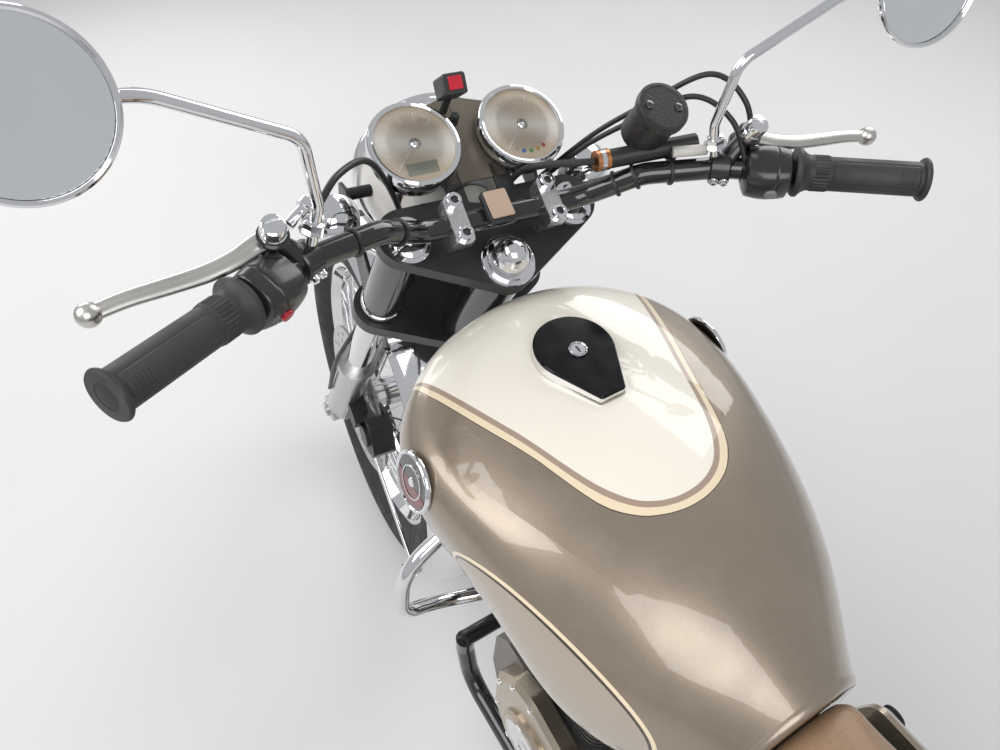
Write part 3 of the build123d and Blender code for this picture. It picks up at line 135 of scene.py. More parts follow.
def steering_frame(caster: float = CASTER, turn: float = -6.6, height: float = 0.915,
                   ahead: float = 0.34868) -> Place:
    """Return the frame on the steering axis: x forward, y left, z up the axis.

    Args:
        caster: the steering axis's lean from upright, in degrees.
        turn: how far the bars are turned at rest, in degrees.
        height: height of the frame's origin over the floor.
        ahead: the origin's place along the machine.

    Returns:
        The frame: the straight-ahead axes turned about the steering axis.
    """
    lean, yaw = math.radians(caster), math.radians(turn)
    forward = np.array([math.cos(lean), 0.0, math.sin(lean)])
    up = np.array([-math.sin(lean), 0.0, math.cos(lean)])
    left = np.array([0.0, 1.0, 0.0])
    x_axis = forward * math.cos(yaw) + left * math.sin(yaw)
    y_axis = -forward * math.sin(yaw) + left * math.cos(yaw)
    return Place(np.array([ahead, 0.0, height]), np.stack([x_axis, y_axis, up]))


STEM = steering_frame()
LEVEL_AHEAD = (math.cos(math.radians(CASTER)), 0.0, -math.sin(math.radians(CASTER)))


def circle(count: int) -> np.ndarray:
    """Return angles at even steps round a circle, in radians."""
    return np.linspace(0, 2 * math.pi, count, endpoint=False)


def crisp(piece: Piece, degrees: float) -> Piece:
    """Keep the edges that are steeper than an angle sharp, and return the piece."""
    piece.data.set_sharp_from_angle(angle=math.radians(degrees))
    return piece


def surface(name: str, grid: np.ndarray, close_u: bool = False, close_v: bool = False, smooth: bool = True,
            uv_scale: tuple[float, float] = (1.0, 1.0)) -> Piece:
    """Make a mesh of a grid of points: quads between neighbours, rows joined where closed.

    Args:
        name: the piece's name.
        grid: points, shaped (rows, columns, 3).
        close_u: join the last row to the first.
        close_v: join the last column to the first.
        smooth: shade it smooth.
        uv_scale: size of the UV map along rows and columns.

    Returns:
        The mesh object, linked to the scene.
    """
    rows, columns = grid.shape[:2]
    index = np.arange(rows * columns).reshape(rows, columns)
    last_u, last_v = (rows if close_u else rows - 1), (columns if close_v else columns - 1)
    i, j = np.meshgrid(np.arange(last_u), np.arange(last_v), indexing="ij")
    i2, j2 = (i + 1) % rows, (j + 1) % columns
    faces = np.stack([index[i, j], index[i2, j], index[i2, j2], index[i, j2]], axis=-1).reshape(-1, 4)
    corner_u = np.stack([i, i + 1, i + 1, i], axis=-1).reshape(-1) / max(rows - 1, 1)
    corner_v = np.stack([j, j, j + 1, j + 1], axis=-1).reshape(-1) / max(columns - 1, 1)
    return from_arrays(name, grid.reshape(-1, 3), faces, smooth,
                       np.stack([corner_u * uv_scale[0], corner_v * uv_scale[1]], axis=-1))


def from_arrays(name: str, points: np.ndarray, faces: np.ndarray, smooth: bool = True,
                uv: np.ndarray | None = None) -> Piece:
    """Make a mesh object of arrays, drop faces without area and turn normals out.

    Args:
        name: the piece's name.
        points: vertices, shaped (n, 3).
        faces: quads or triangles as vertex numbers.
        smooth: shade it smooth.
        uv: UV of every face corner.

    Returns:
        The mesh object, linked to the scene.
    """
    mesh = bpy.data.meshes.new(name)
    mesh.from_pydata(points.tolist(), [], faces.tolist())
    if uv is not None:
        layer = mesh.uv_layers.new(name="UVMap")
        layer.data.foreach_set("uv", uv.astype(np.float32).ravel())
    mesh.polygons.foreach_set("use_smooth", [smooth] * len(mesh.polygons))
    mesh.validate()
    mesh.update()
    piece = bpy.data.objects.new(name, mesh)
    bpy.context.collection.objects.link(piece)
    weld(piece)
    return piece


def weld(piece: Piece, distance: float = 1e-6) -> None:
    """Merge vertices that lie together and point every face outwards.

    Args:
        piece: the mesh object.
        distance: vertices nearer than this become one, in metres.
    """
    work = bmesh.new()
    work.from_mesh(piece.data)
    bmesh.ops.remove_doubles(work, verts=work.verts, dist=distance)
    bmesh.ops.dissolve_degenerate(work, edges=work.edges, dist=1e-7)
    bmesh.ops.recalc_face_normals(work, faces=work.faces)
    work.to_mesh(piece.data)
    work.free()


def join(name: str, pieces: Sequence[Piece], sharp: float | None = 35.0) -> Piece:
    """Join pieces of one finish into one mesh and set its sharp edges by angle.

    Args:
        name: the joined piece's name.
        pieces: the pieces, all at the origin.
        sharp: edges steeper than this many degrees stay crisp, or None.

    Returns:
        The joined object.
    """
    with bpy.context.temp_override(active_object=pieces[0], selected_editable_objects=list(pieces)):
        if len(pieces) > 1:
            bpy.ops.object.join()
    whole = pieces[0]
    whole.name = name
    whole.data.name = name
    return whole if sharp is None else crisp(whole, sharp)


def turned(name: str, place: Place, outline: Sequence[tuple[float, float]], around: int = 48,
           sharp: float | None = 35.0) -> Piece:
    """Lathe an outline of (radius, height) round a frame's third axis.

    The point at angle a and outline step k is (r_k cos a, r_k sin a, h_k).

    Args:
        name: the piece's name.
        place: frame whose third axis is the lathe's.
        outline: radius and height of each step, in millimetres.
        around: steps round the axis.
        sharp: angle of crisp edges in degrees, or None.

    Returns:
        The mesh object.
    """
    r, h = np.array(outline, dtype=float).T * MM
    a = circle(around)
    ring = np.stack([np.outer(r, np.cos(a)), np.outer(r, np.sin(a)), np.outer(h, np.ones_like(a))], axis=-1)
    piece = surface(name, place.put(ring), close_v=True)
    return piece if sharp is None else crisp(piece, sharp)


def smooth_path(knots: Sequence[Sequence[float]], steps: int = 12) -> np.ndarray:
    """Run a smooth curve through knots.

    Between two knots the curve is the cubic whose slope at each knot is half the chord of its neighbours.

    Args:
        knots: the points passed through.
        steps: samples on each span.

    Returns:
        Points along the curve.
    """
    p = np.array(knots, dtype=float)
    ends = np.vstack([2 * p[0] - p[1], p, 2 * p[-1] - p[-2]])
    t = np.linspace(0, 1, steps, endpoint=False)[:, None, None]
    a, b, c, d = ends[:-3], ends[1:-2], ends[2:-1], ends[3:]
    spans = 0.5 * (2 * b + (c - a) * t + (2 * a - 5 * b + 4 * c - d) * t**2 + (3 * b - a - 3 * c + d) * t**3)
    return np.vstack([spans.transpose(1, 0, 2).reshape(-1, p.shape[1]), p[-1:]])


def swept(name: str, path: np.ndarray, radius: float | np.ndarray, around: int = 12, flat: float = 1.0,
          lean: Sequence[float] = (0, 0, 1), closed: bool = False) -> Piece:
    """Carry a round or oval section along a path, with closed ends.

    Each ring is path + r (cos a * n + flat * sin a * b), with n and b square to the path's direction.

    Args:
        name: the piece's name.
        path: points in metres.
        radius: section radius in metres, one or one for each point.
        around: steps round the section.
        flat: the second half-width as a share of the first.
        lean: direction that the second axis b leans to.
        closed: join the path's end to its start.

    Returns:
        The mesh object.
    """
    path = np.asarray(path, dtype=float)
    if closed:
        along = unit(np.roll(path, -1, axis=0) - np.roll(path, 1, axis=0))
    else:
        along = unit(np.gradient(path, axis=0))
    hint = np.broadcast_to(np.asarray(lean, dtype=float), along.shape)
    spare = np.where(
        np.abs(np.sum(hint * along, axis=1, keepdims=True)) > 0.97, np.array([0.3, 0.9, 0.1]), hint)
    side = unit(np.cross(spare, along))
    up = np.cross(along, side)
    r = np.broadcast_to(np.asarray(radius, dtype=float), (len(path),))[:, None, None]
    a = circle(around)[None, :, None]
    grid = path[:, None] + r * (np.cos(a) * side[:, None] + flat * np.sin(a) * up[:, None])
    if not closed:
        grid = np.concatenate([np.repeat(path[None, :1], around, axis=1), grid,
                               np.repeat(path[None, -1:], around, axis=1)])
    return surface(name, grid, close_u=closed, close_v=True)


def plate(name: str, place: Place, outline: np.ndarray, thick: float, bevel: float = 0.0) -> Piece:
    """Raise a flat outline into a plate with softened rims.

    Rows run: centre, inset rim, rim, and the same below; inset rim = centre + (1 - bevel / size) * rim.

    Args:
        name: the piece's name.
        place: frame of the outline; the plate rises from z = 0 to thick.
        outline: x and y of the rim in millimetres.
        thick: thickness in millimetres.
        bevel: width of the softened rim in millimetres.

    Returns:
        The mesh object.
    """
    rim = np.asarray(outline, dtype=float) * MM
    middle = rim.mean(axis=0)
    reach = np.linalg.norm(rim - middle, axis=1, keepdims=True)
    inset = middle + (rim - middle) * (1 - bevel * MM / np.maximum(reach, 1e-6))
    levels = ((np.broadcast_to(middle, rim.shape), 0.0), (inset, 0.0), (rim, bevel), (rim, thick - bevel),
              (inset, thick), (np.broadcast_to(middle, rim.shape), thick))
    grid = np.stack([np.column_stack([flat, np.full(len(rim), height * MM)]) for flat, height in levels])
    return crisp(surface(name, place.put(grid), close_v=True), 30)


def rounded(width: float, height: float, corner: float, steps: int = 6) -> np.ndarray:
    """Return a rectangle's outline with round corners: four quarter circles in turn.

    Args:
        width: size along x.
        height: size along y.
        corner: radius of the corners.
        steps: points on each corner.

    Returns:
        The outline's points, shaped (4 steps, 2).
    """
    a = np.linspace(0, math.pi / 2, steps)
    turns = np.concatenate([a, a + math.pi / 2, a + math.pi, a + 1.5 * math.pi])
    x_signs = np.repeat([1, -1, -1, 1], steps)
    y_signs = np.repeat([1, 1, -1, -1], steps)
    return np.column_stack([x_signs * (width / 2 - corner) + corner * np.cos(turns),
                            y_signs * (height / 2 - corner) + corner * np.sin(turns)])


def repeat(piece: Piece, moves: Sequence[Matrix]) -> Piece:
    """Replace a mesh with moved copies of itself, as whole arrays.

    Args:
        piece: the mesh object to copy.
        moves: one matrix for each copy.

    Returns:
        The same object with its new mesh.
    """
    mesh = piece.data
    points = np.empty(len(mesh.vertices) * 3)
    mesh.vertices.foreach_get("co", points)
    points = points.reshape(-1, 3)
    faces = [list(p.vertices) for p in mesh.polygons]
    smooth = [p.use_smooth for p in mesh.polygons]
    turns = np.array([np.array(m)[:3, :3] for m in moves])
    shifts = np.array([np.array(m)[:3, 3] for m in moves])
    every = np.einsum("kij,nj->kni", turns, points) + shifts[:, None]
    new = bpy.data.meshes.new(mesh.name)
    new.from_pydata(every.reshape(-1, 3).tolist(), [],
                    [[v + k * len(points) for v in face] for k in range(len(moves)) for face in faces])
    new.polygons.foreach_set("use_smooth", smooth * len(moves))
    piece.data = new
    return crisp(piece, 35)


class Nodes:
    """A small hand for wiring a material."""

    def __init__(self, name: str) -> None:
        """Start an empty material with its shader.

        Args:
            name: the material's name.
        """
        self.material = bpy.data.materials.new(name)
        self.material.use_nodes = True
        self.tree = self.material.node_tree
        self.shader = self.tree.nodes["Principled BSDF"]
        self.coords = self.add("ShaderNodeTexCoord").outputs["Object"]

    def add(self, kind: str, inputs: dict | None = None, **settings: object) -> bpy.types.Node:
        """Add a node.

        Args:
            kind: the node's type.
            inputs: values or sockets by input name or number.
            settings: the node's own settings.

        Returns:
            The node.
        """
        node = self.tree.nodes.new(kind)
        for key, value in settings.items():
            setattr(node, key, value)
        for key, value in (inputs or {}).items():
            self.feed(node.inputs[key], value)
        return node

    def feed(self, socket: Socket, value: object) -> None:
        """Link a socket to another, or set its value.

        Args:
            socket: the input.
            value: a socket to link, or the value.
        """
        if isinstance(value, Socket):
            self.tree.links.new(value, socket)
        elif isinstance(value, tuple) and len(value) == 3 and socket.type == "RGBA":
            socket.default_value = (*value, 1.0)
        else:
            socket.default_value = value

    def maths(self, how: str, first: object, second: object = 0.0, third: object = 0.0) -> Socket:
        """Return the result of one sum on numbers or sockets."""
        return self.add("ShaderNodeMath", {0: first, 1: second, 2: third}, operation=how).outputs[0]

    def noise(self, scale: float, detail: float = 3.0, stretch: Sequence[float] = (1, 1, 1),
              rough: float = 0.5) -> Socket:
        """Return noise on the piece's own coordinates, in cycles per metre.

        Args:
            scale: cycles per metre.
            detail: octaves.
            stretch: scale along each axis.
            rough: how much the finer octaves weigh.

        Returns:
            The noise, about 0 to 1.
        """
        mapped = self.add("ShaderNodeMapping", {"Vector": self.coords, "Scale": tuple(stretch)}).outputs[0]
        inputs = {"Vector": mapped, "Scale": scale, "Detail": detail, "Roughness": rough}
        return self.add("ShaderNodeTexNoise", inputs).outputs["Fac"]

    def ramp(self, value: object, stops: Sequence[tuple[float, Colour]]) -> Socket:
        """Return colours between the stops of a ramp.

        Args:
            value: the number or socket.
            stops: place and colour of each stop.

        Returns:
            The colour.
        """
        node = self.add("ShaderNodeValToRGB", {"Fac": value})
        while len(node.color_ramp.elements) < len(stops):
            node.color_ramp.elements.new(0.5)
        for element, (place, colour) in zip(node.color_ramp.elements, stops):
            element.position = place
            element.color = (*colour, 1.0)
        return node.outputs["Color"]

    def scaled(self, value: object, low: float, high: float, out_low: float, out_high: float) -> Socket:
        """Return a number carried from one range to another, held at its ends."""
        return self.add("ShaderNodeMapRange", {0: value, 1: low, 2: high, 3: out_low, 4: out_high}).outputs[0]

    def blend(self, share: object, first: object, second: object, how: str = "MIX") -> Socket:
        """Return two colours blended by a share.

        Args:
            share: share of the second colour.
            first: the first colour.
            second: the second colour.
            how: the way of blending.

        Returns:
            The colour.
        """
        node = self.add("ShaderNodeMix", data_type="RGBA", blend_type=how)
        for key, value in ((0, share), (6, first), (7, second)):
            self.feed(node.inputs[key], value)
        return node.outputs[2]

    def bump(self, height: object, depth: float, strength: float = 1.0, under: object = None) -> Socket:
        """Return a normal from a height of the given depth in metres.

        Args:
            height: the height from 0 to 1.
            depth: what 1 is in metres.
            strength: how much of it shows.
            under: the normal that it stands on.

        Returns:
            The normal.
        """
        inputs = {"Height": height, "Distance": depth, "Strength": strength}
        if under is not None:
            inputs["Normal"] = under
        return self.add("ShaderNodeBump", inputs).outputs["Normal"]

    def vector(self, how: str, first: object, second: object = (0.0, 0.0, 0.0), out: str = "Value") -> Socket:
        """Return one output of a sum on vectors."""
        return self.add("ShaderNodeVectorMath", {0: first, 1: second}, operation=how).outputs[out]

    def set(self, **values: object) -> Material:
        """Set the shader's sockets, with _ for spaces, and return the material.

        Args:
            values: values or sockets by the input's name.

        Returns:
            The material.
        """
        for key, value in values.items():
            self.feed(self.shader.inputs[key.replace("_", " ")], value)
        return self.material


@dataclass(frozen=True)
class Finish:
    """A plain coat: colour with soft variation, fine grain and dust in its roughness."""

    name: str
    colour: Colour
    rough: float = 0.4
    metal: float = 0.0
    vary: float = 0.12
    grain: float = 0.0
    grain_scale: float = 900.0
    coat: float = 0.0
    stretch: Point = (1, 1, 1)

    def material(self) -> Material:
        """Build the material: noise in colour and roughness, grain as bump.

        Returns:
            The material.
        """
        n = Nodes(self.name)
        cloud = n.noise(9.0, 4.0)
        fine = n.noise(self.grain_scale, 3.0, self.stretch)
        dark = tuple(c * (1 - self.vary) for c in self.colour)
        light = tuple(min(1.0, c * (1 + self.vary) + 0.004) for c in self.colour)
        colour = n.ramp(n.maths("MULTIPLY_ADD", fine, 0.35, n.maths("MULTIPLY", cloud, 0.65)),
                        ((0.36, dark), (0.64, light)))
        rough = n.scaled(n.noise(35.0, 5.0), 0.3, 0.7, self.rough * 0.82, min(1.0, self.rough * 1.2))
        n.set(Base_Color=colour, Roughness=rough, Metallic=self.metal, Coat_Weight=self.coat,
              Coat_Roughness=0.06)
        if self.grain:
            n.set(Normal=n.bump(fine, self.grain))
        return n.material


@dataclass(frozen=True)
class Chrome(Finish):
    """Bright plate: near-white metal with faint smears."""

    def material(self) -> Material:
        """Build the material: metal with smears in its roughness only.

        Returns:
            The material.
        """
        n = Nodes(self.name)
        smear = n.noise(22.0, 6.0, (1, 1, 1), 0.6)
        rough = n.scaled(smear, 0.35, 0.75, self.rough, self.rough * 2.2)
        colour = n.ramp(n.noise(6.0, 3.0), ((0.3, tuple(c * 0.94 for c in self.colour)), (0.7, self.colour)))
        return n.set(Base_Color=colour, Roughness=rough, Metallic=1.0)


@dataclass(frozen=True)
class Brushed(Finish):
    """Metal with fine lines along one direction."""

    def material(self) -> Material:
        """Build the material: stretched noise as lines in colour, roughness and bump.

        Returns:
            The material.
        """
        n = Nodes(self.name)
        lines = n.noise(420.0, 3.0, self.stretch)
        colour = n.ramp(lines, ((0.3, tuple(c * (1 - self.vary) for c in self.colour)), (0.7, self.colour)))
        rough = n.scaled(lines, 0.3, 0.7, self.rough * 0.8, self.rough * 1.3)
        return n.set(Base_Color=colour, Roughness=rough, Metallic=1.0, Normal=n.bump(lines, 0.00002))


@dataclass(frozen=True)
class Cast(Finish):
    """Sand-cast or shot-blasted alloy: pitted bump and darker blotches of grime."""

    def material(self) -> Material:
        """Build the material: pits from a fine and a coarse noise.

        Returns:
            The material.
        """
        n = Nodes(self.name)
        pits = n.noise(1400.0, 2.0)
        lumps = n.noise(160.0, 4.0)
        grime = n.noise(14.0, 6.0, (1, 1, 1), 0.65)
        colour = n.blend(
            n.scaled(grime, 0.45, 0.75, 0.0, 0.45), self.colour, tuple((c * 0.55 for c in self.colour)))
        height = n.maths("MULTIPLY_ADD", lumps, 0.6, n.maths("MULTIPLY", pits, 0.4))
        rough = n.scaled(pits, 0.3, 0.7, self.rough * 0.85, self.rough * 1.15)
        return n.set(
            Base_Color=colour, Roughness=rough, Metallic=self.metal, Normal=n.bump(height, self.grain))


@dataclass(frozen=True)
class Clear(Finish):
    """Clear or tinted glass or lens plastic."""

    def material(self) -> Material:
        """Build the material: full transmission, with fine dust in the roughness.

        Returns:
            The material.
        """
        n = Nodes(self.name)
        rough = n.scaled(n.noise(60.0, 4.0), 0.4, 0.8, self.rough, self.rough * 2.0)
        n.set(Base_Color=self.colour, Roughness=rough, Transmission_Weight=1.0)
        n.shader.inputs["IOR"].default_value = 1.45
        return n.material


BLACK_GLOSS = Finish("frame_gloss_black", (0.012, 0.012, 0.013), 0.16, coat=0.6, vary=0.2)
BLACK_SATIN = Finish(
    "satin_black_paint", (0.016, 0.016, 0.017), 0.38, vary=0.2, grain=0.00002, grain_scale=1500)
BLACK_PLASTIC = Finish(
    "switch_black_plastic", (0.018, 0.018, 0.019), 0.45, vary=0.15, grain=0.00003, grain_scale=2600)
BAR_BLACK = Finish("bar_black_enamel", (0.008, 0.008, 0.009), 0.12, coat=0.7, vary=0.2)
RUBBER = Finish("moulded_rubber", (0.02, 0.02, 0.02), 0.62, vary=0.2, grain=0.00003, grain_scale=1800)
GRIP_RUBBER = Finish("grip_rubber", (0.026, 0.026, 0.027), 0.55, vary=0.22, grain=0.00004, grain_scale=1600)
CHROME = Chrome("bright_chrome", (0.82, 0.82, 0.83), 0.05)
DARK_CHROME = Chrome("dark_chrome", (0.16, 0.16, 0.165), 0.12)
WARM_CHROME = Chrome("pipe_chrome", (0.8, 0.78, 0.75), 0.09)
CLAMP_ALLOY = Brushed("clamp_brushed_alloy", (0.66, 0.66, 0.65), 0.3, vary=0.2, stretch=(1, 12, 1))
LEVER_ALLOY = Finish(
    "lever_alloy", (0.6, 0.585, 0.55), 0.3, metal=1.0, vary=0.05, grain=0.000012, grain_scale=2400)
POD_BLACK = Finish(
    "pod_gloss_black", (0.013, 0.013, 0.014), 0.26, coat=0.35, vary=0.2, grain=0.00002, grain_scale=2200)
POLISHED_ALLOY = Finish(
    "cover_polished_alloy", (0.5, 0.43, 0.34), 0.24, metal=1.0, vary=0.07, grain=1e-5, grain_scale=2600)
ENGINE_ALLOY = Cast("engine_cast_alloy", (0.27, 0.255, 0.23), 0.4, metal=0.9, grain=0.00005)
CYLINDER_BLACK = Cast("cylinder_black", (0.028, 0.028, 0.028), 0.5, metal=0.2, grain=0.00006)
CARB_ALLOY = Cast("carburettor_alloy", (0.5, 0.49, 0.46), 0.42, metal=0.9, grain=0.00005)
SLIDER_ALLOY = Brushed("slider_alloy", (0.6, 0.6, 0.59), 0.3, vary=0.12, stretch=(1, 6, 1))
STEEL = Brushed("bright_steel", (0.58, 0.57, 0.56), 0.34, vary=0.25, stretch=(3, 1, 3))
CHAIN_STEEL = Finish("oiled_chain_steel", (0.2, 0.18, 0.15), 0.38, metal=0.9, vary=0.35, grain=0.00003)
WHITE_PAINT = Finish("lamp_white_enamel", (0.72, 0.71, 0.67), 0.2, coat=0.6, vary=0.03)
BRONZE_SATIN = Finish("bracket_bronze_satin", (0.17, 0.145, 0.115), 0.42, metal=0.6, vary=0.15)
AMBER = Finish("amber_lens", (0.75, 0.15, 0.015), 0.12, coat=0.8, vary=0.05)
RED_LENS = Finish("red_lens", (0.42, 0.01, 0.01), 0.1, coat=0.8, vary=0.08)
LAMP_GLASS = Clear("lamp_glass", (0.97, 0.98, 0.99), 0.02)
MIRROR = Chrome("mirror_silver", (0.9, 0.91, 0.92), 0.012)
TYRE = Finish("tyre_rubber", (0.022, 0.022, 0.023), 0.72, vary=0.25, grain=0.00006, grain_scale=1200)
COPPER = Finish("copper_washer", (0.6, 0.27, 0.12), 0.3, metal=1.0, vary=0.15)
BRAKE_STEEL = Brushed("disc_steel", (0.55, 0.55, 0.54), 0.3, vary=0.2, stretch=(1, 1, 1))
PANEL_PAINT = Finish("panel_bronze_paint", (0.30, 0.245, 0.185), 0.25, metal=0.55, coat=0.9, vary=0.06)
SEAT_TAN = Finish("seat_tan_vinyl", (0.40, 0.205, 0.1), 0.46, vary=0.1, grain=0.00012, grain_scale=700)
SHELL_BLACK = Finish("gauge_shell_black", (0.014, 0.014, 0.015), 0.2, coat=0.5, vary=0.15)


NODE_FINISHES: tuple[tuple[Finish, str], ...] = (
    (BLACK_GLOSS, "frame_spine frame_cradle seat_rails swingarm"),
    (BLACK_SATIN, "steering_yokes master_cylinder brake_caliper centre_stand side_stand"),
    (BLACK_PLASTIC, "airbox switch_housings"),
    (CHROME, "rear_shocks engine_guard rear_mudguard rear_signals foot_controls kick_starter fork_tubes "
             "headlight_rim mirrors front_signals front_mudguard front_wheel rear_wheel"),
    (STEEL, "rear_axle rear_sprocket"), (ENGINE_ALLOY, "engine_case"), (POLISHED_ALLOY, "engine_covers"),
    (CYLINDER_BLACK, "cylinder"), (CARB_ALLOY, "carburettor"), (PANEL_PAINT, "side_covers fuel_tank"),
    (WARM_CHROME, "exhaust"), (SEAT_TAN, "seat"), (RED_LENS, "tail_lamp"), (CHAIN_STEEL, "drive_chain"),
    (SLIDER_ALLOY, "fork_sliders"), (BAR_BLACK, "handlebar"), (CLAMP_ALLOY, "bar_clamps"),
    (SHELL_BLACK, "gauges"), (BRONZE_SATIN, "gauge_plate"), (WHITE_PAINT, "headlight_shell"),
    (LAMP_GLASS, "headlight_glass"), (LEVER_ALLOY, "control_levers"), (GRIP_RUBBER, "grips"),
    (MIRROR, "mirror_glasses"), (TYRE, "front_tyre rear_tyre"), (BRAKE_STEEL, "front_disc"),
    (DARK_CHROME, "fuel_cap"))


class Paintbox:
    """Keeps one material for each finish."""

    def __init__(self) -> None:
        """Start with no material made."""
        self.made: dict[str, Material] = {}

    def get(self, finish: Finish) -> Material:
        """Return the finish's material, made once.

        Args:
            finish: the finish.

        Returns:
            Its material.
        """
        if finish.name not in self.made:
            self.made[finish.name] = finish.material()
        return self.made[finish.name]

    def coat(self, piece: Piece, finish: Finish) -> Piece:
        """Give a piece one finish all over.

        Args:
            piece: the mesh object.
            finish: the finish.

        Returns:
            The piece.
        """
        piece.data.materials.clear()
        piece.data.materials.append(self.get(finish))
        return piece


class Workshop:
    """Puts finished pieces on the machine and logs them."""

    def __init__(self, frame: dict) -> None:
        """Keep the frame and start an empty paintbox.

        Args:
            frame: the frame as loaded.
        """
        self.frame = frame
        self.paint = Paintbox()
        self.slots = {part["node"]: part["material_slot"] for part in frame["record"]["subparts"]}

    def fit(self, piece: Piece, body: Body, finish: Finish | None, like: str,
            replaces: Sequence[str] = ()) -> Piece:
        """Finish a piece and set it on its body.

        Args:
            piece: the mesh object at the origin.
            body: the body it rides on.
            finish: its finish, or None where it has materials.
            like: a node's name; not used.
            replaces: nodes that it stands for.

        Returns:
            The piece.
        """
        if finish is not None:
            self.paint.coat(piece, finish)
        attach(piece, body.value)
        if replaces:
            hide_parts(*replaces)
        log.info("%s on %s: %d faces", piece.name, body.value, len(piece.data.polygons))
        return piece

    def dress_nodes(self) -> None:
        """Give each node of the frame its finish."""
        for finish, names in NODE_FINISHES:
            for name in names.split():
                self.paint.coat(self.frame["nodes"][name], finish)


def mm(*values: float) -> np.ndarray:
    """Return millimetres as metres."""
    return np.array(values, dtype=float) * MM


def on_stem(x: float, y: float, z: float, normal: Sequence[float] = (0, 0, 1),
            across: Sequence[float] = (0, 1, 0)) -> Place:
    """Return a frame at a point of the steering frame, in millimetres."""
    return STEM.at(mm(x, y, z), normal, across)


def on_machine(x: float, y: float, z: float, normal: Sequence[float] = (0, 0, 1),
               across: Sequence[float] = (0, 1, 0)) -> Place:
    """Return a frame at a point of the machine, in millimetres from the rear axle's upright."""
    return WORLD.at(mm(x - REAR_AXLE, y, z), normal, across)


def stem_path(knots: Sequence[Sequence[float]], steps: int = 10) -> np.ndarray:
    """Return a smooth path through points of the steering frame, in millimetres."""
    return STEM.put(smooth_path(knots, steps) * MM)


def machine_path(knots: Sequence[Sequence[float]], steps: int = 10) -> np.ndarray:
    """Return a smooth path through points of the machine, in millimetres."""
    return smooth_path(np.array(knots, dtype=float) - (REAR_AXLE, 0, 0), steps) * MM


def words(name: str, text: str, place: Place, size: float, thick: float = 0.15) -> Piece:
    """Set a number as a thin mesh on a frame's plane, centred on its origin, sizes in millimetres.

    Args:
        name: the piece's name.
        text: the number.
        place: frame whose origin is the number's middle.
        size: height of a line of it.
        thick: thickness.

    Returns:
        The mesh object.
    """
    curve = bpy.data.curves.new(name, "FONT")
    curve.body = text
    curve.size = size * MM
    curve.extrude = thick * MM
    curve.align_x, curve.align_y = "CENTER", "CENTER"
    holder = bpy.data.objects.new(name + "_curve", curve)
    bpy.context.collection.objects.link(holder)
    mesh = bpy.data.meshes.new_from_object(holder.evaluated_get(bpy.context.evaluated_depsgraph_get()))
    bpy.data.objects.remove(holder)
    matrix = np.eye(4)
    matrix[:3, :3] = place.axes.T
    matrix[:3, 3] = place.origin
    mesh.transform(Matrix(matrix.tolist()))
    piece = bpy.data.objects.new(name, mesh)
    bpy.context.collection.objects.link(piece)
    return piece


def socket_bolt(name: str, place: Place, radius: float = 6.5, height: float = 7.0) -> Piece:
    """Turn a socket-headed bolt: washer, head with a softened rim, and its key hole.

    Args:
        name: the piece's name.
        place: frame at the bolt's seat.
        radius: radius in millimetres.
        height: height in millimetres.

    Returns:
        The mesh object.
    """
    r, h = radius, height
    head = turned(name, place, ((0, 0), (r * 1.25, 0), (r * 1.25, 1.2), (r, 1.2), (r, h - 0.8), (r - 0.8, h),
                                (r * 0.55, h), (r * 0.5, h - 0.5), (r * 0.5, h * 0.35), (0, h * 0.35)), 24)
    return head


def hex_bolt(name: str, place: Place, radius: float = 6.0, height: float = 5.0) -> Piece:
    """Turn a six-sided bolt head with a crowned top on its washer.

    Args:
        name: the piece's name.
        place: frame at the bolt's seat.
        radius: radius in millimetres.
        height: height in millimetres.

    Returns:
        The mesh object.
    """
    r, h = radius, height
    washer = turned(name + "_w", place, ((0, 0), (r * 1.3, 0), (r * 1.3, 1.0), (0, 1.0)), 24)
    head = turned(name + "_h", place, ((0, 0.9), (r, 0.9), (r, h - 0.8), (r * 0.82, h), (0, h)), 6, 20)
    return join(name, [washer, head])


@dataclass
class Group:
    """A sub-assembly, which makes its pieces and fits them to the machine."""

    shop: Workshop
    rides: ClassVar[Body] = Body.CHASSIS
    usual: ClassVar[str] = ""

    def fit(self, piece: Piece, finish: Finish | None, like: str = "", stands: bool = False,
            body: Body | None = None) -> Piece:
        """Finish a piece and set it on the machine."""
        node = like or self.usual
        return self.shop.fit(piece, body or self.rides, finish, node, (node,) if stands else ())

    def turn(self, name: str, place: Place, outline: Sequence[tuple[float, float]], around: int,
             finish: Finish | None, like: str = "", stands: bool = False,
             body: Body | None = None) -> Piece:
        """Lathe a piece, as turned says, and set it on the machine, as fit says."""
        return self.fit(turned(name, place, outline, around), finish, like, stands, body)

    def bolt_down(self, name: str, places: Sequence[Place], radius: float, height: float) -> None:
        """Fit socket bolts at the places, each with a black six-sided plug in its key hole as painted shade.

        Args:
            name: the pieces' name.
            places: frames at the bolts' seats.
            radius: radius of the heads in millimetres.
            height: height of the heads in millimetres.
        """
        r, h = radius, height
        heads = [socket_bolt(f"{name}_{k}", place, r, h) for k, place in enumerate(places)]
        self.fit(join(name, heads), CHROME)
        # painted shade: a black plug fills each key hole where the shaded chrome inside would look dark
        key = ((0, h * 0.3), (r * 0.56, h * 0.3), (r * 0.56, h - 0.9), (0, h - 1.4))
        hole_shade_plugs = [turned(f"{name}_hole_{k}", place, key, 6, None) for k, place in enumerate(places)]
        self.fit(join(f"{name}_key_hole_painted_shade", hole_shade_plugs, None), BLACK_PLASTIC)


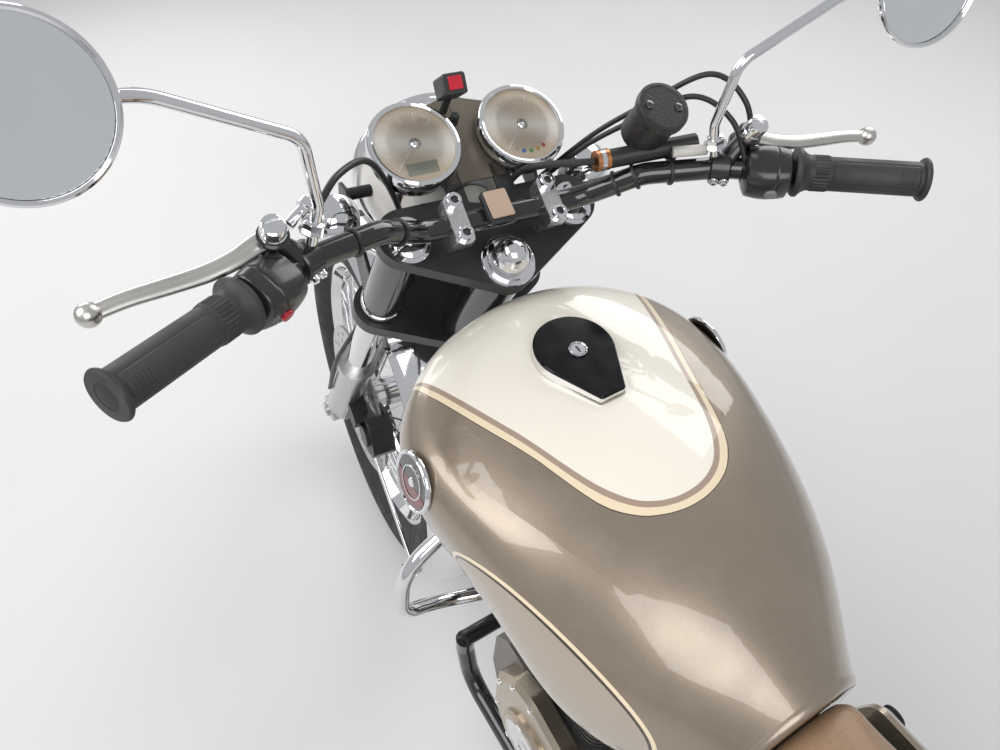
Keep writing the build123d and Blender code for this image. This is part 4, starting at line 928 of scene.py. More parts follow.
@dataclass
class Instruments(Group):
    """The two round gauges on their bracket plate, with the gear display."""

    rides: ClassVar[Body] = Body.STEERING
    usual: ClassVar[str] = "gauges"
    forward: float = 133.0
    spread: float = 60.0
    radius: float = 48.0
    top: float = 38.0
    depth: float = 44.0
    sweep: tuple[float, float] = (225.0, -45.0)
    # tilt of the painted highlight band across each dial, in degrees
    band: float = 14.0

    def face_finish(self, side: int, tag: str) -> Material:
        """Make the dial's finish: pale bronze metal with fine lines across and a painted highlight band.

        The painted highlight band stands for the light a brushed face reflects; it widens from the middle:
        its share falls with distance from the band's line over reach.

        Args:
            side: 1 for the left dial, -1 for the right one.
            tag: the side in words, for the material's name.

        Returns:
            The material.
        """
        n = Nodes(f"dial_bronze_{tag}")
        place = on_stem(self.forward, side * self.spread, self.top, across=(0, -1, 0))
        turn = math.radians(self.band)
        cross_way = place.way((math.sin(turn), math.cos(turn), 0))
        away = n.vector("SUBTRACT", n.coords, tuple(place.origin), "Vector")
        aside = n.vector("DOT_PRODUCT", away, tuple(cross_way))
        reach = n.vector("LENGTH", away)
        share = n.maths("DIVIDE", n.maths("ABSOLUTE", aside), n.maths("MULTIPLY_ADD", reach, 0.55, 0.014))
        # painted highlight: a near-white band across the face that stands for the brushed face's reflection
        band = n.scaled(share, 0.12, 0.7, 1.0, 0.0)
        lines = n.noise(700.0, 3.0, (1, 14, 1))
        bronze = n.ramp(lines, ((0.3, (0.6, 0.49, 0.37)), (0.7, (0.76, 0.64, 0.5))))
        n.set(Base_Color=n.blend(band, bronze, (0.98, 0.94, 0.86)), Metallic=0.2,
              Roughness=n.scaled(lines, 0.3, 0.7, 0.3, 0.42))
        return n.material

    def spot(self, side: int, angle: float, reach: float, rise: float) -> Place:
        """Return a frame on a dial.

        Args:
            side: 1 for left, -1 for right.
            angle: degrees from the dial's right.
            reach: distance from its middle.
            rise: height over its face.

        Returns:
            The frame, x to the dial's right.
        """
        a = math.radians(angle)
        return on_stem(
            self.forward + reach * math.sin(a), side * self.spread - reach * math.cos(a), self.top + rise,
            across=(0, -1, 0))

    def ticks(self, side: int, count: int, every: int, outer: float) -> Piece:
        """Build the scale: short and long radial bars and a thin arc inside them.

        Bar k stands at angle a_k from sweep start to end, from outer - length to outer.

        Args:
            side: 1 for left, -1 for right.
            count: how many bars.
            every: each bar of this count is long.
            outer: reach of the bars' outer ends.

        Returns:
            The scale's object.
        """
        angles = np.radians(np.linspace(*self.sweep, count))
        long = (np.arange(count) % every == 0)
        inner = np.where(long, outer - 5.5, outer - 3.0)
        half = np.where(long, 0.45, 0.25)
        way = np.stack([np.sin(angles), -np.cos(angles)], axis=-1)
        side_way = np.stack([np.cos(angles), np.sin(angles)], axis=-1)
        middle = np.array([self.forward, side * self.spread])
        corners = [middle + way * reach[:, None] + side_way * (half * sign)[:, None]
                   for reach, sign in ((inner, 1), (inner, -1), (np.full(count, outer), -1),
                                       (np.full(count, outer), 1))]
        flat = np.stack(corners, axis=1).reshape(-1, 2)
        points = np.column_stack([flat, np.full(len(flat), self.top - 4.4)])
        bars = from_arrays(f"ticks_{side}", STEM.put(points * MM), np.arange(4 * count).reshape(-1, 4), False)
        a = np.radians(np.linspace(*self.sweep, 60))
        rings = np.stack(
            [np.column_stack([self.forward + r * np.sin(a), side * self.spread - r * np.cos(a),
                              np.full(60, self.top - 4.4)])
             for r in (outer - 12.2, outer - 11.7)])
        thin = surface(f"arc_{side}", STEM.put(rings * MM), smooth=False)
        return join(f"dial_scale_{side}", [bars, thin], None)

    def build(self) -> None:
        """Build both gauges, their plate, knob and gear display."""
        ink = Finish("dial_ink", (0.9, 0.88, 0.82), 0.5, vary=0.02)
        for side, tag, numbers in ((1, "left", range(0, 181, 20)), (-1, "right", range(0, 11, 1))):
            place = on_stem(self.forward, side * self.spread, 0)
            r, t = self.radius, self.top
            self.turn(
                f"gauge_cup_{tag}", place,
                ((0, t - self.depth), (30, t - self.depth), (38, t - 40), (43, t - 30), (45, t - 16),
                 (45, t - 6), (0, t - 6)), 64, DARK_CHROME, stands=True)
            self.turn(
                f"gauge_bezel_{tag}", place,
                ((44, t - 16), (46.5, t - 16), (r, t - 13), (r, t - 4), (r - 1.5, t - 1), (r - 4, t),
                 (r - 6, t - 1), (r - 7, t - 5), (40, t - 6), (40, t - 9)), 96, CHROME)
            dial = turned(
                f"dial_face_{tag}", place,
                ((0, t - 6), (41, t - 6), (41, t - 5), (39, t - 4.6), (0, t - 4.6)), 72)
            dial.data.materials.append(self.face_finish(side, tag))
            self.fit(dial, None)
            scale = self.ticks(side, 10 * (len(numbers) - 1) // 2 + 1, 5, 36.5)
            figures = [words(f"figure_{tag}_{k}", str(value), self.spot(side, angle, 27.0, -4.45), 5.4)
                       for k, (value, angle) in enumerate(zip(numbers,
                                                              np.linspace(*self.sweep, len(numbers))))]
            self.fit(join(f"dial_marks_{tag}", [scale, *figures], None), ink)
            self.pointer(side, tag)
            self.turn(
                f"gauge_glass_{tag}", place,
                ((41.5, t - 2.6), (41.5, t - 1.8), (30, t - 0.9), (14, t - 0.5), (0, t - 0.4), (0, t - 1.2),
                 (30, t - 1.7)), 64, Clear("gauge_glass", (1, 1, 1), 0.02))
        self.windows()
        self.bracket()

    def pointer(self, side: int, tag: str) -> None:
        """Build a pointer that rests at the scale's start, with its hub.

        Args:
            side: 1 for left, -1 for right.
            tag: the side's word in the pieces' names.
        """
        a = math.radians(self.sweep[0])
        middle = np.array([self.forward, side * self.spread, self.top - 3.4])
        tip = middle + np.array([math.sin(a), -math.cos(a), 0]) * 33
        tail = middle - np.array([math.sin(a), -math.cos(a), 0]) * 8
        path = STEM.put(np.linspace(tail, tip, 8) * MM)
        self.fit(
            swept(f"pointer_{tag}", path, np.linspace(1.7, 0.7, 8) * MM, 8, 0.5),
            Finish("pointer_cream", (0.93, 0.9, 0.83), 0.4, vary=0.03))
        self.turn(
            f"pointer_hub_{tag}", on_stem(*middle), ((0, -1), (6, -1), (6, 0.4), (5, 1.1), (0, 1.3)), 32,
            CHROME)

    def windows(self) -> None:
        """Build the left dial's counter window and the right dial's row of tell-tales."""
        self.fit(
            plate("counter_window",
                  on_stem(self.forward - 27, self.spread + 1, self.top - 4.7, across=(0, -1, 0.0)),
                  rounded(33, 13, 1), 0.6, 0.2),
            Finish("counter_grey", (0.33, 0.34, 0.27), 0.35, vary=0.04))
        colours = ((0.5, 0.06, 0.04), (0.6, 0.35, 0.05), (0.1, 0.35, 0.1), (0.08, 0.2, 0.5), (0.5, 0.5, 0.45))
        for k, colour in enumerate(colours):
            angle = -62 - 15.0 * k
            self.turn(
                f"tell_tale_{k}", self.spot(-1, angle, 31, -4.9),
                ((0, 0), (2.3, 0), (2.3, 0.7), (1.6, 1.1), (0, 1.2)), 16,
                Finish(f"tell_tale_{k}", colour, 0.25, vary=0.05))

    def bracket(self) -> None:
        """Build the plate under the gauges, its knob, and the gear display on its stalk."""
        a = circle(96)
        middle = self.forward + 5
        circles = (
            (self.forward, self.spread, 40), (self.forward, -self.spread, 40), (self.forward + 42, 0, 18))
        reach = np.max(
            [x * np.cos(a) - middle * np.cos(a) + y * np.sin(a) + r for x, y, r in circles], axis=0)
        rate = np.gradient(reach, a)
        x = middle + reach * np.cos(a) - rate * np.sin(a)
        y = reach * np.sin(a) + rate * np.cos(a)
        self.fit(
            plate("gauge_board", Place(STEM.put(mm(0, 0, 9.0)), STEM.axes), np.column_stack([x, y]), 3.0,
                  0.6), BRONZE_SATIN, "gauge_plate", stands=True)
        for side in (1, -1):
            self.fit(
                plate(f"gauge_arm_{side}", Place(STEM.put(mm(75, side * 28, 9.0)), STEM.axes),
                      rounded(70, 20, 3), 3.0, 0.5), BLACK_SATIN, "gauge_plate")
        self.turn(
            "reset_knob", on_stem(self.forward + 30, 2, 11),
            ((0, 0), (5.5, 0), (5.5, 3), (4.6, 4), (4.6, 12), (3.6, 13.5), (0, 13.5)), 24, BLACK_PLASTIC,
            "gauge_plate")
        self.fit(
            swept("display_stalk",
                  stem_path(((self.forward + 44, 8, 11), (self.forward + 43, 9, 30),
                             (self.forward + 40, 10, 52))), 4 * MM, 16), BLACK_PLASTIC, "gauge_plate")
        face = (-0.42, 0.06, 0.9)
        self.fit(
            plate("display_box", on_stem(self.forward + 52, 8.7, 38, face), rounded(24, 21, 3), 34.5, 1.2),
            BLACK_PLASTIC, "gauge_plate")
        self.fit(
            plate("display_screen", on_stem(self.forward + 37.6, 10.7, 70.2, face), rounded(14.5, 13, 1),
                  0.7, 0.2), Finish("display_red", (0.5, 0.004, 0.02), 0.2, coat=0.3, vary=0.06),
            "gauge_plate")


@dataclass
class Handlebar(Group):
    """Grips, levers, thumb keys, clamps' bolts, sensor pad and mirrors' nuts on the bar."""

    rides: ClassVar[Body] = Body.STEERING
    usual: ClassVar[str] = "bar_clamps"
    end: Point = (-78.5, 375, 172)
    bend: Point = (9.5, 217, 102)
    grip: float = 124.0

    def along(self, side: int, back: float, fore: Sequence[float] = (1, 0.55, 0)) -> Place:
        """Return a frame on the bar's outer run: z outwards along it, x ahead of it.

        Args:
            side: 1 for left, -1 for right.
            back: distance from the bar's end in millimetres.
            fore: direction that x leans to.

        Returns:
            The frame.
        """
        a, b = np.array(self.bend), np.array(self.end)
        run = unit(b - a)
        spot = (b - run * back) * (1, side, 1)
        return on_stem(*spot, normal=run * (1, side, 1), across=(fore[0], fore[1] * side, fore[2]))

    def build_grip(self, side: int, tag: str) -> None:
        """Build a rubber grip: end flange, sleeve with two outlined panels, ribbed band and inner flange.

        With d the distance to a panel's rounded outline, the sleeve gains 0.5 mm inside it and loses
        0.6 exp(-(d / 0.8) squared) on the line itself.

        Args:
            side: 1 for left, -1 for right.
            tag: the side's word in the piece's name.
        """
        z = np.concatenate(
            [[0, 0], np.linspace(0, 5, 7), np.linspace(5.4, 92, 170), np.linspace(92.4, 110, 24),
             np.linspace(110.6, 126, 22), [126, 126]])
        a = circle(120)
        flare = np.clip((z - 110) / 11, 0, 1)
        sleeve = np.where(z < 92, 16.7, 17.4 + 7.0 * flare**2 - 1.6 * np.clip((z - 124) / 2, 0, 1))
        r = np.where(z <= 5, 19.6 + 1.4 * np.sin(np.clip(z / 5, 0, 1) * math.pi), sleeve)
        r[[0, -1]] = 11.0
        arc_along = 16.7 * ((a + math.radians(120 * side) + math.pi / 2) % math.pi - math.pi / 2)[None]
        box_x, box_z = np.abs(arc_along) - 8.0, np.abs(z - 49)[:, None] - 36.0
        outside = np.hypot(np.maximum(box_x, 0), np.maximum(box_z, 0))
        outline = outside + np.minimum(np.maximum(box_x, box_z), 0) - 4
        on_sleeve = ((z > 6) & (z < 91.5))[:, None]
        relief = on_sleeve * (0.5 * np.clip(-outline / 1.5, 0, 1) - 0.6 * np.exp(-(outline / 0.8) ** 2))
        bars = (0.5 * (np.sin(z * 2 * math.pi / 3.4) > 0)[:, None] * (np.abs(arc_along) < 6.5)
                * ((z > 14) & (z < 28))[:, None])
        ribs = 0.5 * np.outer((z > 93.5) & (z < 108), np.sin(30 * a))
        reach = r[:, None] + relief + bars + ribs
        grid = np.stack(
            [reach * np.cos(a), reach * np.sin(a), np.broadcast_to((1.0 - z)[:, None], reach.shape)],
            axis=-1)
        piece = crisp(surface(f"grip_{tag}", self.along(side, 0).put(grid * MM), close_v=True), 40)
        self.fit(piece, GRIP_RUBBER, "grips", stands=True)
        self.turn(
            f"bar_end_{tag}", self.along(side, 0), ((0, -3), (12, -3), (12, 0.4), (10, 1.0), (0, 1.0)), 32,
            RUBBER, "grips")

    def build_lever(self, side: int, tag: str) -> None:
        """Build a lever: a flat tapering blade with a finger curve and a ball end.

        Args:
            side: 1 for left, -1 for right.
            tag: the side's word in the pieces' names.
        """
        pts = (
            (25, 232, 126), (24, 246, 127), (14, 268, 128), (8, 292, 128), (4, 320, 130), (0, 350, 133),
            (-6, 376, 135))
        path = stem_path([(x, y * side, z) for x, y, z in pts], 8)
        share = np.linspace(0, 1, len(path))
        width = (9.8 - 3.0 * share**0.8) * MM
        blade = swept(f"lever_blade_{tag}", path, width, 24, 0.5, STEM.way((0.1, 0, 1)))
        ball = turned(f"lever_ball_{tag}", on_stem(-6, 376 * side, 135, (0, 1, 0), (1, 0, 0)),
                      [(9.5 * math.sin(t), -9.5 * math.cos(t)) for t in np.linspace(0, math.pi, 20)], 32)
        eye = turned(
            f"lever_eye_{tag}", on_stem(24, 236 * side, 126), ((0, -5), (10, -5), (10, 5), (0, 5)), 32)
        self.fit(join(f"lever_{tag}", [blade, ball, eye]), LEVER_ALLOY, "control_levers", stands=True)

    def build_switches(self, side: int, tag: str) -> None:
        """Build the switch housing's thumb keys and its button.

        Args:
            side: 1 for left, -1 for right.
            tag: the side's word in the pieces' names.
        """
        frame = self.along(side, self.grip + 28)
        ups = unit(np.cross(frame.axes[2], frame.axes[0])) * side
        keys = {1: ((-6.0, 15.0, 7.0, 4.5), (8.0, 14.0, 5.0, 3.5), (-4.0, -2.0, 6.5, 4.0)),
                -1: ((-5.0, 12.0, 8.0, 5.0), (7.0, 2.0, 5.5, 4.0))}[side]
        for k, (across, along, wide, tall) in enumerate(keys):
            spot = (frame.origin + frame.axes[0] * (-across * MM) + frame.axes[2] * (along - 6) * MM
                    + ups * 21.4 * MM)
            self.fit(
                plate(f"switch_{tag}_{k}", WORLD.at(spot, ups, frame.axes[0]),
                      rounded(wide * 1.6, wide, 1.6), tall, 0.8), BLACK_PLASTIC, "switch_housings")
        spot = frame.put(mm(-26.5, 0, 6))
        button = turned(f"thumb_button_{tag}", WORLD.at(spot, -frame.axes[0], frame.axes[2]),
                        ((0, -2), (6, -2), (6, 2.5), (5, 3.5), (0, 3.8)), 24)
        colour = Finish("button_grey", (0.2, 0.2, 0.2), 0.4)
        if side > 0:
            colour = Finish("button_red", (0.4, 0.01, 0.02), 0.3, coat=0.4)
        self.fit(button, colour, "switch_housings")

    def build_middle(self) -> None:
        """Build the clamps' bolts, the sensor pad on the bar and the stem's chromed nut."""
        spots = [on_stem(x, 51 * side, 49.5) for side in (1, -1) for x in (21.6, 56.5)]
        self.bolt_down("clamp_bolts", spots, 7.8, 9)
        self.fit(
            plate("sensor_base", on_stem(41, 10, 50, (0.08, 0, 1)), rounded(28, 34, 3), 9, 1.2),
            BLACK_PLASTIC, "gauge_plate")
        self.fit(
            plate("sensor_pad", on_stem(41.7, 10, 59, (0.08, 0, 1)), rounded(24, 30, 2), 2.0, 0.6),
            Finish("sensor_beige", (0.42, 0.3, 0.22), 0.5, vary=0.04), "gauge_plate")
        self.fit(
            swept("sensor_lead",
                  stem_path(((52, 10, 52), (66, 12, 50), (80, 22, 34), (84, 30, 16), (86, 34, 10))),
                  1.4 * MM, 10), BLACK_PLASTIC, "gauge_plate")
        self.turn(
            "stem_nut", on_stem(0, 0, 8),
            ((0, 0), (29, 0), (29, 3), (28, 4), (24.5, 4), (24.5, 8), (23.5, 9), (19, 9), (18.4, 10),
             (18.4, 19), (17, 21), (15.5, 24), (13, 28.5), (9, 32), (4, 33.6), (0, 34)), 64, CHROME)
        for side in (1, -1):
            self.turn(
                f"fork_top_{side}", on_stem(41.6, 93 * side, 9),
                ((0, 0), (21, 0), (21, 2), (17, 3), (17, 6), (14, 8), (6, 8.5), (5, 6), (0, 6)), 48, CHROME)

    def build_mirrors(self, side: int, tag: str) -> None:
        """Build the nut at the foot of a mirror stem, and the mirror's rim bead.

        Args:
            side: 1 for left, -1 for right.
            tag: the side's word in the pieces' names.
        """
        self.fit(
            hex_bolt(f"mirror_nut_{tag}", on_stem(26, 203 * side, 122, (0.5, -0.27 * side, 0.78)), 9, 9),
            CHROME, "mirrors")
        facing = (-0.66, -0.12 * side, 0.74)
        self.turn(
            f"mirror_bead_{tag}", on_stem(72, 371 * side, 267, facing),
            ((51.6, 1.5), (55.6, 1.5), (56.2, 3), (55.6, 5.2), (54, 6), (52.4, 5.2), (51.6, 3)), 96, CHROME,
            "mirrors")

    def build(self) -> None:
        """Build everything on the bar."""
        for side, tag in SIDES:
            self.build_grip(side, tag)
            self.build_lever(side, tag)
            self.build_switches(side, tag)
            self.build_mirrors(side, tag)
        self.build_middle()


@dataclass
class Reservoir(Group):
    """The round brake reservoir: textured lid, screws, and the hose with its banjo."""

    rides: ClassVar[Body] = Body.STEERING
    usual: ClassVar[str] = "master_cylinder"
    x: float = 66.0
    y: float = -149.0
    z: float = 94.0

    def build(self) -> None:
        """Build the lid, its screws, the banjo and the hose down to the caliper."""
        lid = turned(
            "reservoir_lid", on_stem(self.x, self.y, self.z + 40),
            ((22, -1), (26, -1), (26.4, 1), (26.4, 7), (25.4, 8.6), (22.5, 9), (21.5, 8.2), (0, 8.2)), 72)
        coarse = Finish("lid_crackle", (0.02, 0.02, 0.02), 0.4, vary=0.2, grain=0.0004, grain_scale=420)
        self.fit(lid, coarse)
        for k, (dx, dy) in enumerate(((4, 15), (-4, -15))):
            self.turn(
                f"lid_screw_{k}", on_stem(self.x + dx, self.y + dy, self.z + 48),
                ((0, 0), (4.6, 0), (4.4, 1.4), (3, 2.2), (1.2, 2.2), (1.2, 1), (0, 1)), 24, DARK_CHROME)
        for k, (y, finish) in enumerate(((-108.0, COPPER), (-103.0, CHROME), (-98.0, COPPER))):
            self.turn(
                f"banjo_{k}", on_stem(52.6, y, 83.4, (0.1, 1, -0.1), (1, 0, 0)),
                ((0, 0), (10.5, 0), (10.5, 4.6), (0, 4.6)), 32, finish)
        self.fit(
            swept("brake_hose",
                  stem_path(((53, -93, 83), (58, -76, 78), (72, -52, 58), (86, -40, 20), (88, -38, -60),
                             (82, -52, -170), (70, -76, -300), (52, -100, -420), (34, -112, -520),
                             (22, -112, -560)), 14), 3.6 * MM, 14), RUBBER)


@dataclass
class Headlight(Group):
    """The bowl headlight: enamelled shell, reflector, bulb and ribbed glass."""

    rides: ClassVar[Body] = Body.STEERING
    forward: float = 181.4
    drop: float = 113.5
    radius: float = 90.0
    depth: float = 112.0

    def build(self) -> None:
        """Build the shell, rim, reflector, bulb and glass."""
        r, d, here = self.radius, self.depth, on_stem(self.forward, 0, -self.drop, LEVEL_AHEAD)
        t = np.linspace(0, math.pi / 2, 26)
        outside = [((r - 3) * math.cos(a) ** 0.62 if a < t[-1] else 0.0, -6 - (d - 6) * math.sin(a))
                   for a in t]
        self.turn(
            "lamp_shell", here, [(r - 9, -6), *outside], 96, WHITE_PAINT, "headlight_shell", stands=True)
        self.turn(
            "lamp_rim", here,
            ((r - 12, 3), (r - 8, 9), (r - 3, 10.5), (r + 1.5, 8), (r + 3, 2), (r + 2.5, -4), (r, -9),
             (r - 4, -9), (r - 4, 0)), 128, CHROME, "headlight_rim", stands=True)
        bowl = [(r * (1 - k) * 0.9, -4 - 58 * (1 - (1 - k) ** 2)) for k in np.linspace(0, 0.94, 18)]
        self.turn(
            "lamp_reflector", here, [*bowl, (0, bowl[-1][1] - 1)], 96,
            Chrome("reflector_silver", (0.9, 0.9, 0.88), 0.06), "headlight_rim")
        self.turn(
            "lamp_bulb", here, ((0, -60), (9, -58), (9, -44), (5.5, -40), (5.5, -26), (3.5, -21), (0, -20)),
            32, Clear("bulb_glass", (1, 0.95, 0.85), 0.1), "headlight_glass")
        a = circle(144)
        share = np.linspace(1, 0, 30)
        reach = share * (r - 9)
        flute = (0.5 * np.cos(2 * np.pi * np.outer(reach, np.sin(a)) / 7.0)
                 * np.clip((1 - share) * 8, 0, 1)[:, None])
        dome = 4 + 15 * (1 - share**2)[:, None] + 0 * a
        front = np.stack([np.outer(reach, np.cos(a)), np.outer(reach, np.sin(a)), dome], axis=-1)
        back = front[::-1].copy()
        back[..., 2] -= 3.5 + flute[::-1]
        self.fit(
            surface("lamp_lens", here.put(np.concatenate([back, front]) * MM), close_u=True, close_v=True),
            LAMP_GLASS, "headlight_glass", stands=True)


@dataclass
class Signals(Group):
    """The four round turn signals: chromed bodies with amber lenses."""

    front: Point = (96.0, 150.0, -30.0)
    rear: Point = (-128.0, 150.0, 700.0)

    def one(self, tag: str, place: Place, body: Body, like: str) -> None:
        """Build one signal on its frame, z out of the lens.

        Args:
            tag: end of the pieces' names.
            place: the signal's frame.
            body: the link it rides on.
            like: the node it dresses.
        """
        self.turn(
            f"signal_body_{tag}", place,
            ((0, -24), (7, -23.5), (15, -20), (23, -13), (28, -4), (30.6, 6), (31, 9), (29, 10.5),
             (26.5, 9.5), (26, 8)), 64, CHROME, like, stands=True, body=body)
        self.turn(
            f"signal_lens_{tag}", place,
            ((0, 6), (26.5, 6), (26.8, 11), (25, 15.5), (21.8, 16.2), (21.2, 17.2), (16.8, 19.3),
             (16.0, 20.2), (10, 21.6), (9.2, 22.4), (0, 22.9)), 64, AMBER, like, body=body)

    def build(self) -> None:
        """Build all four signals with their stalks."""
        for side, tag in SIDES:
            x, y, z = self.front
            self.one(f"front_{tag}", on_stem(x, y * side, z, LEVEL_AHEAD), Body.STEERING, "front_signals")
            self.fit(
                swept(f"signal_stalk_front_{tag}",
                      STEM.put(np.linspace((55, 104 * side, -40), (90, 150 * side, -32), 8) * MM), 6 * MM,
                      20), CHROME, "front_signals", body=Body.STEERING)
            x, y, z = self.rear
            self.one(f"rear_{tag}", on_machine(x, y * side, z, (-1, 0, 0)), Body.CHASSIS, "rear_signals")
            inner, outer = (-76, 95 * side, 717), (-110, 148 * side, 701)
            stalk = (np.linspace(outer, inner, 8) - (REAR_AXLE, 0, 0)) * MM
            self.fit(swept(f"signal_stalk_rear_{tag}", stalk, 6 * MM, 20), CHROME, "rear_signals")


def arc(middle: np.ndarray, radius: np.ndarray, start: float, end: float, steps: int) -> np.ndarray:
    """Return arcs as (rows, steps, 2): middle + radius (sin a, cos a), a in degrees from straight up."""
    a = np.radians(np.linspace(start, end, steps))
    return middle[:, None] + radius[:, None, None] * np.stack([np.sin(a), np.cos(a)], axis=-1)[None]


def body_outline(rows: np.ndarray, corner: float, crown: float, tuck: float = 38.0) -> np.ndarray:
    """Return closed cross-sections made of crown, shoulder, flank and corner arcs that meet in tangents.

    With t the crown's angle, half width = crown sin t + shoulder (1 - sin t), and the drop from the top to
    the widest height = crown (1 - cos t) + shoulder cos t; the two radii follow from the two sums.

    Args:
        rows: half width, top, widest height and bottom of each section, in millimetres.
        corner: radius of the lower corners.
        crown: half the crown's angle in degrees.
        tuck: how far the flank turns in under the widest height, in degrees.

    Returns:
        Points (rows, around, 2) as y and z, from the top round the left side and back.
    """
    half, top, belly, bottom = rows.T
    t1, t3 = math.radians(crown), 90 + tuck
    a, b, c, d = math.sin(t1), 1 - math.sin(t1), 1 - math.cos(t1), math.cos(t1)
    drop = top - belly
    crown_r = (half * d - b * drop) / (a * d - b * c)
    shoulder_r = (a * drop - c * half) / (a * d - b * c)
    dip = -math.cos(math.radians(t3))
    corner_r = np.full_like(half, corner)
    flank_r = (belly - bottom - corner_r * (1 - dip)) / dip
    crown_mid = np.column_stack([0 * half, top - crown_r])
    first = arc(crown_mid, crown_r, 0, crown, 14)
    edge = np.array([math.sin(t1), math.cos(t1)])
    second = arc(first[:, -1] - shoulder_r[:, None] * edge, shoulder_r, crown, 90, 20)
    third = arc(second[:, -1] - np.column_stack([flank_r, 0 * half]), flank_r, 90, t3, 14)
    turn = np.array([math.sin(math.radians(t3)), math.cos(math.radians(t3))])
    fourth = arc(third[:, -1] - corner_r[:, None] * turn, corner_r, t3, 180, 10)
    under = np.linspace(fourth[:, -1], np.column_stack([0 * half, bottom]), 6, axis=1)
    left = np.concatenate([first, second[:, 1:], third[:, 1:], fourth[:, 1:], under[:, 1:]], axis=1)
    right = left[:, -2:0:-1] * (-1, 1)
    return np.concatenate([left, right], axis=1)


def rolled_end(row: np.ndarray, radius: float, ahead: int, steps: int = 8) -> np.ndarray:
    """Return rows that round a section over: at angle p it draws in by r (1 - cos p) and moves by r sin p.

    Args:
        row: the section's place, half width, top, widest height and bottom.
        radius: radius r of the rolled edge.
        ahead: 1 to roll it ahead, -1 to the rear.
        steps: rows of the quarter turn.

    Returns:
        The rows after the section's own.
    """
    p = np.linspace(0, math.pi / 2, steps)[1:]
    inward, along = radius * (1 - np.cos(p)), radius * np.sin(p)
    return np.column_stack(
        [row[0] + ahead * along, row[1] - inward, row[2] - inward * 0.75, np.full_like(p, row[3]),
         row[4] + inward * 0.5])


def lofted(name: str, rows: np.ndarray, corner: float, crown: float) -> Piece:
    """Loft body outlines at their places along the machine, closed at both ends by their middles.

    Args:
        name: the piece's name.
        rows: place, half width, top, widest height and bottom of each section, in millimetres.
        corner: radius of the lower corners.
        crown: half the crown's angle in degrees.

    Returns:
        The mesh object.
    """
    ring = body_outline(rows[:, 1:], corner, crown)
    along = np.broadcast_to((rows[:, 0] - REAR_AXLE)[:, None, None], ring.shape[:2] + (1,))
    grid = np.concatenate([along, ring], axis=-1)
    ends = [np.broadcast_to(grid[k].mean(axis=0), grid[:1].shape) for k in (0, -1)]
    return surface(name, np.concatenate([ends[0], grid, ends[1]]) * MM, close_v=True)


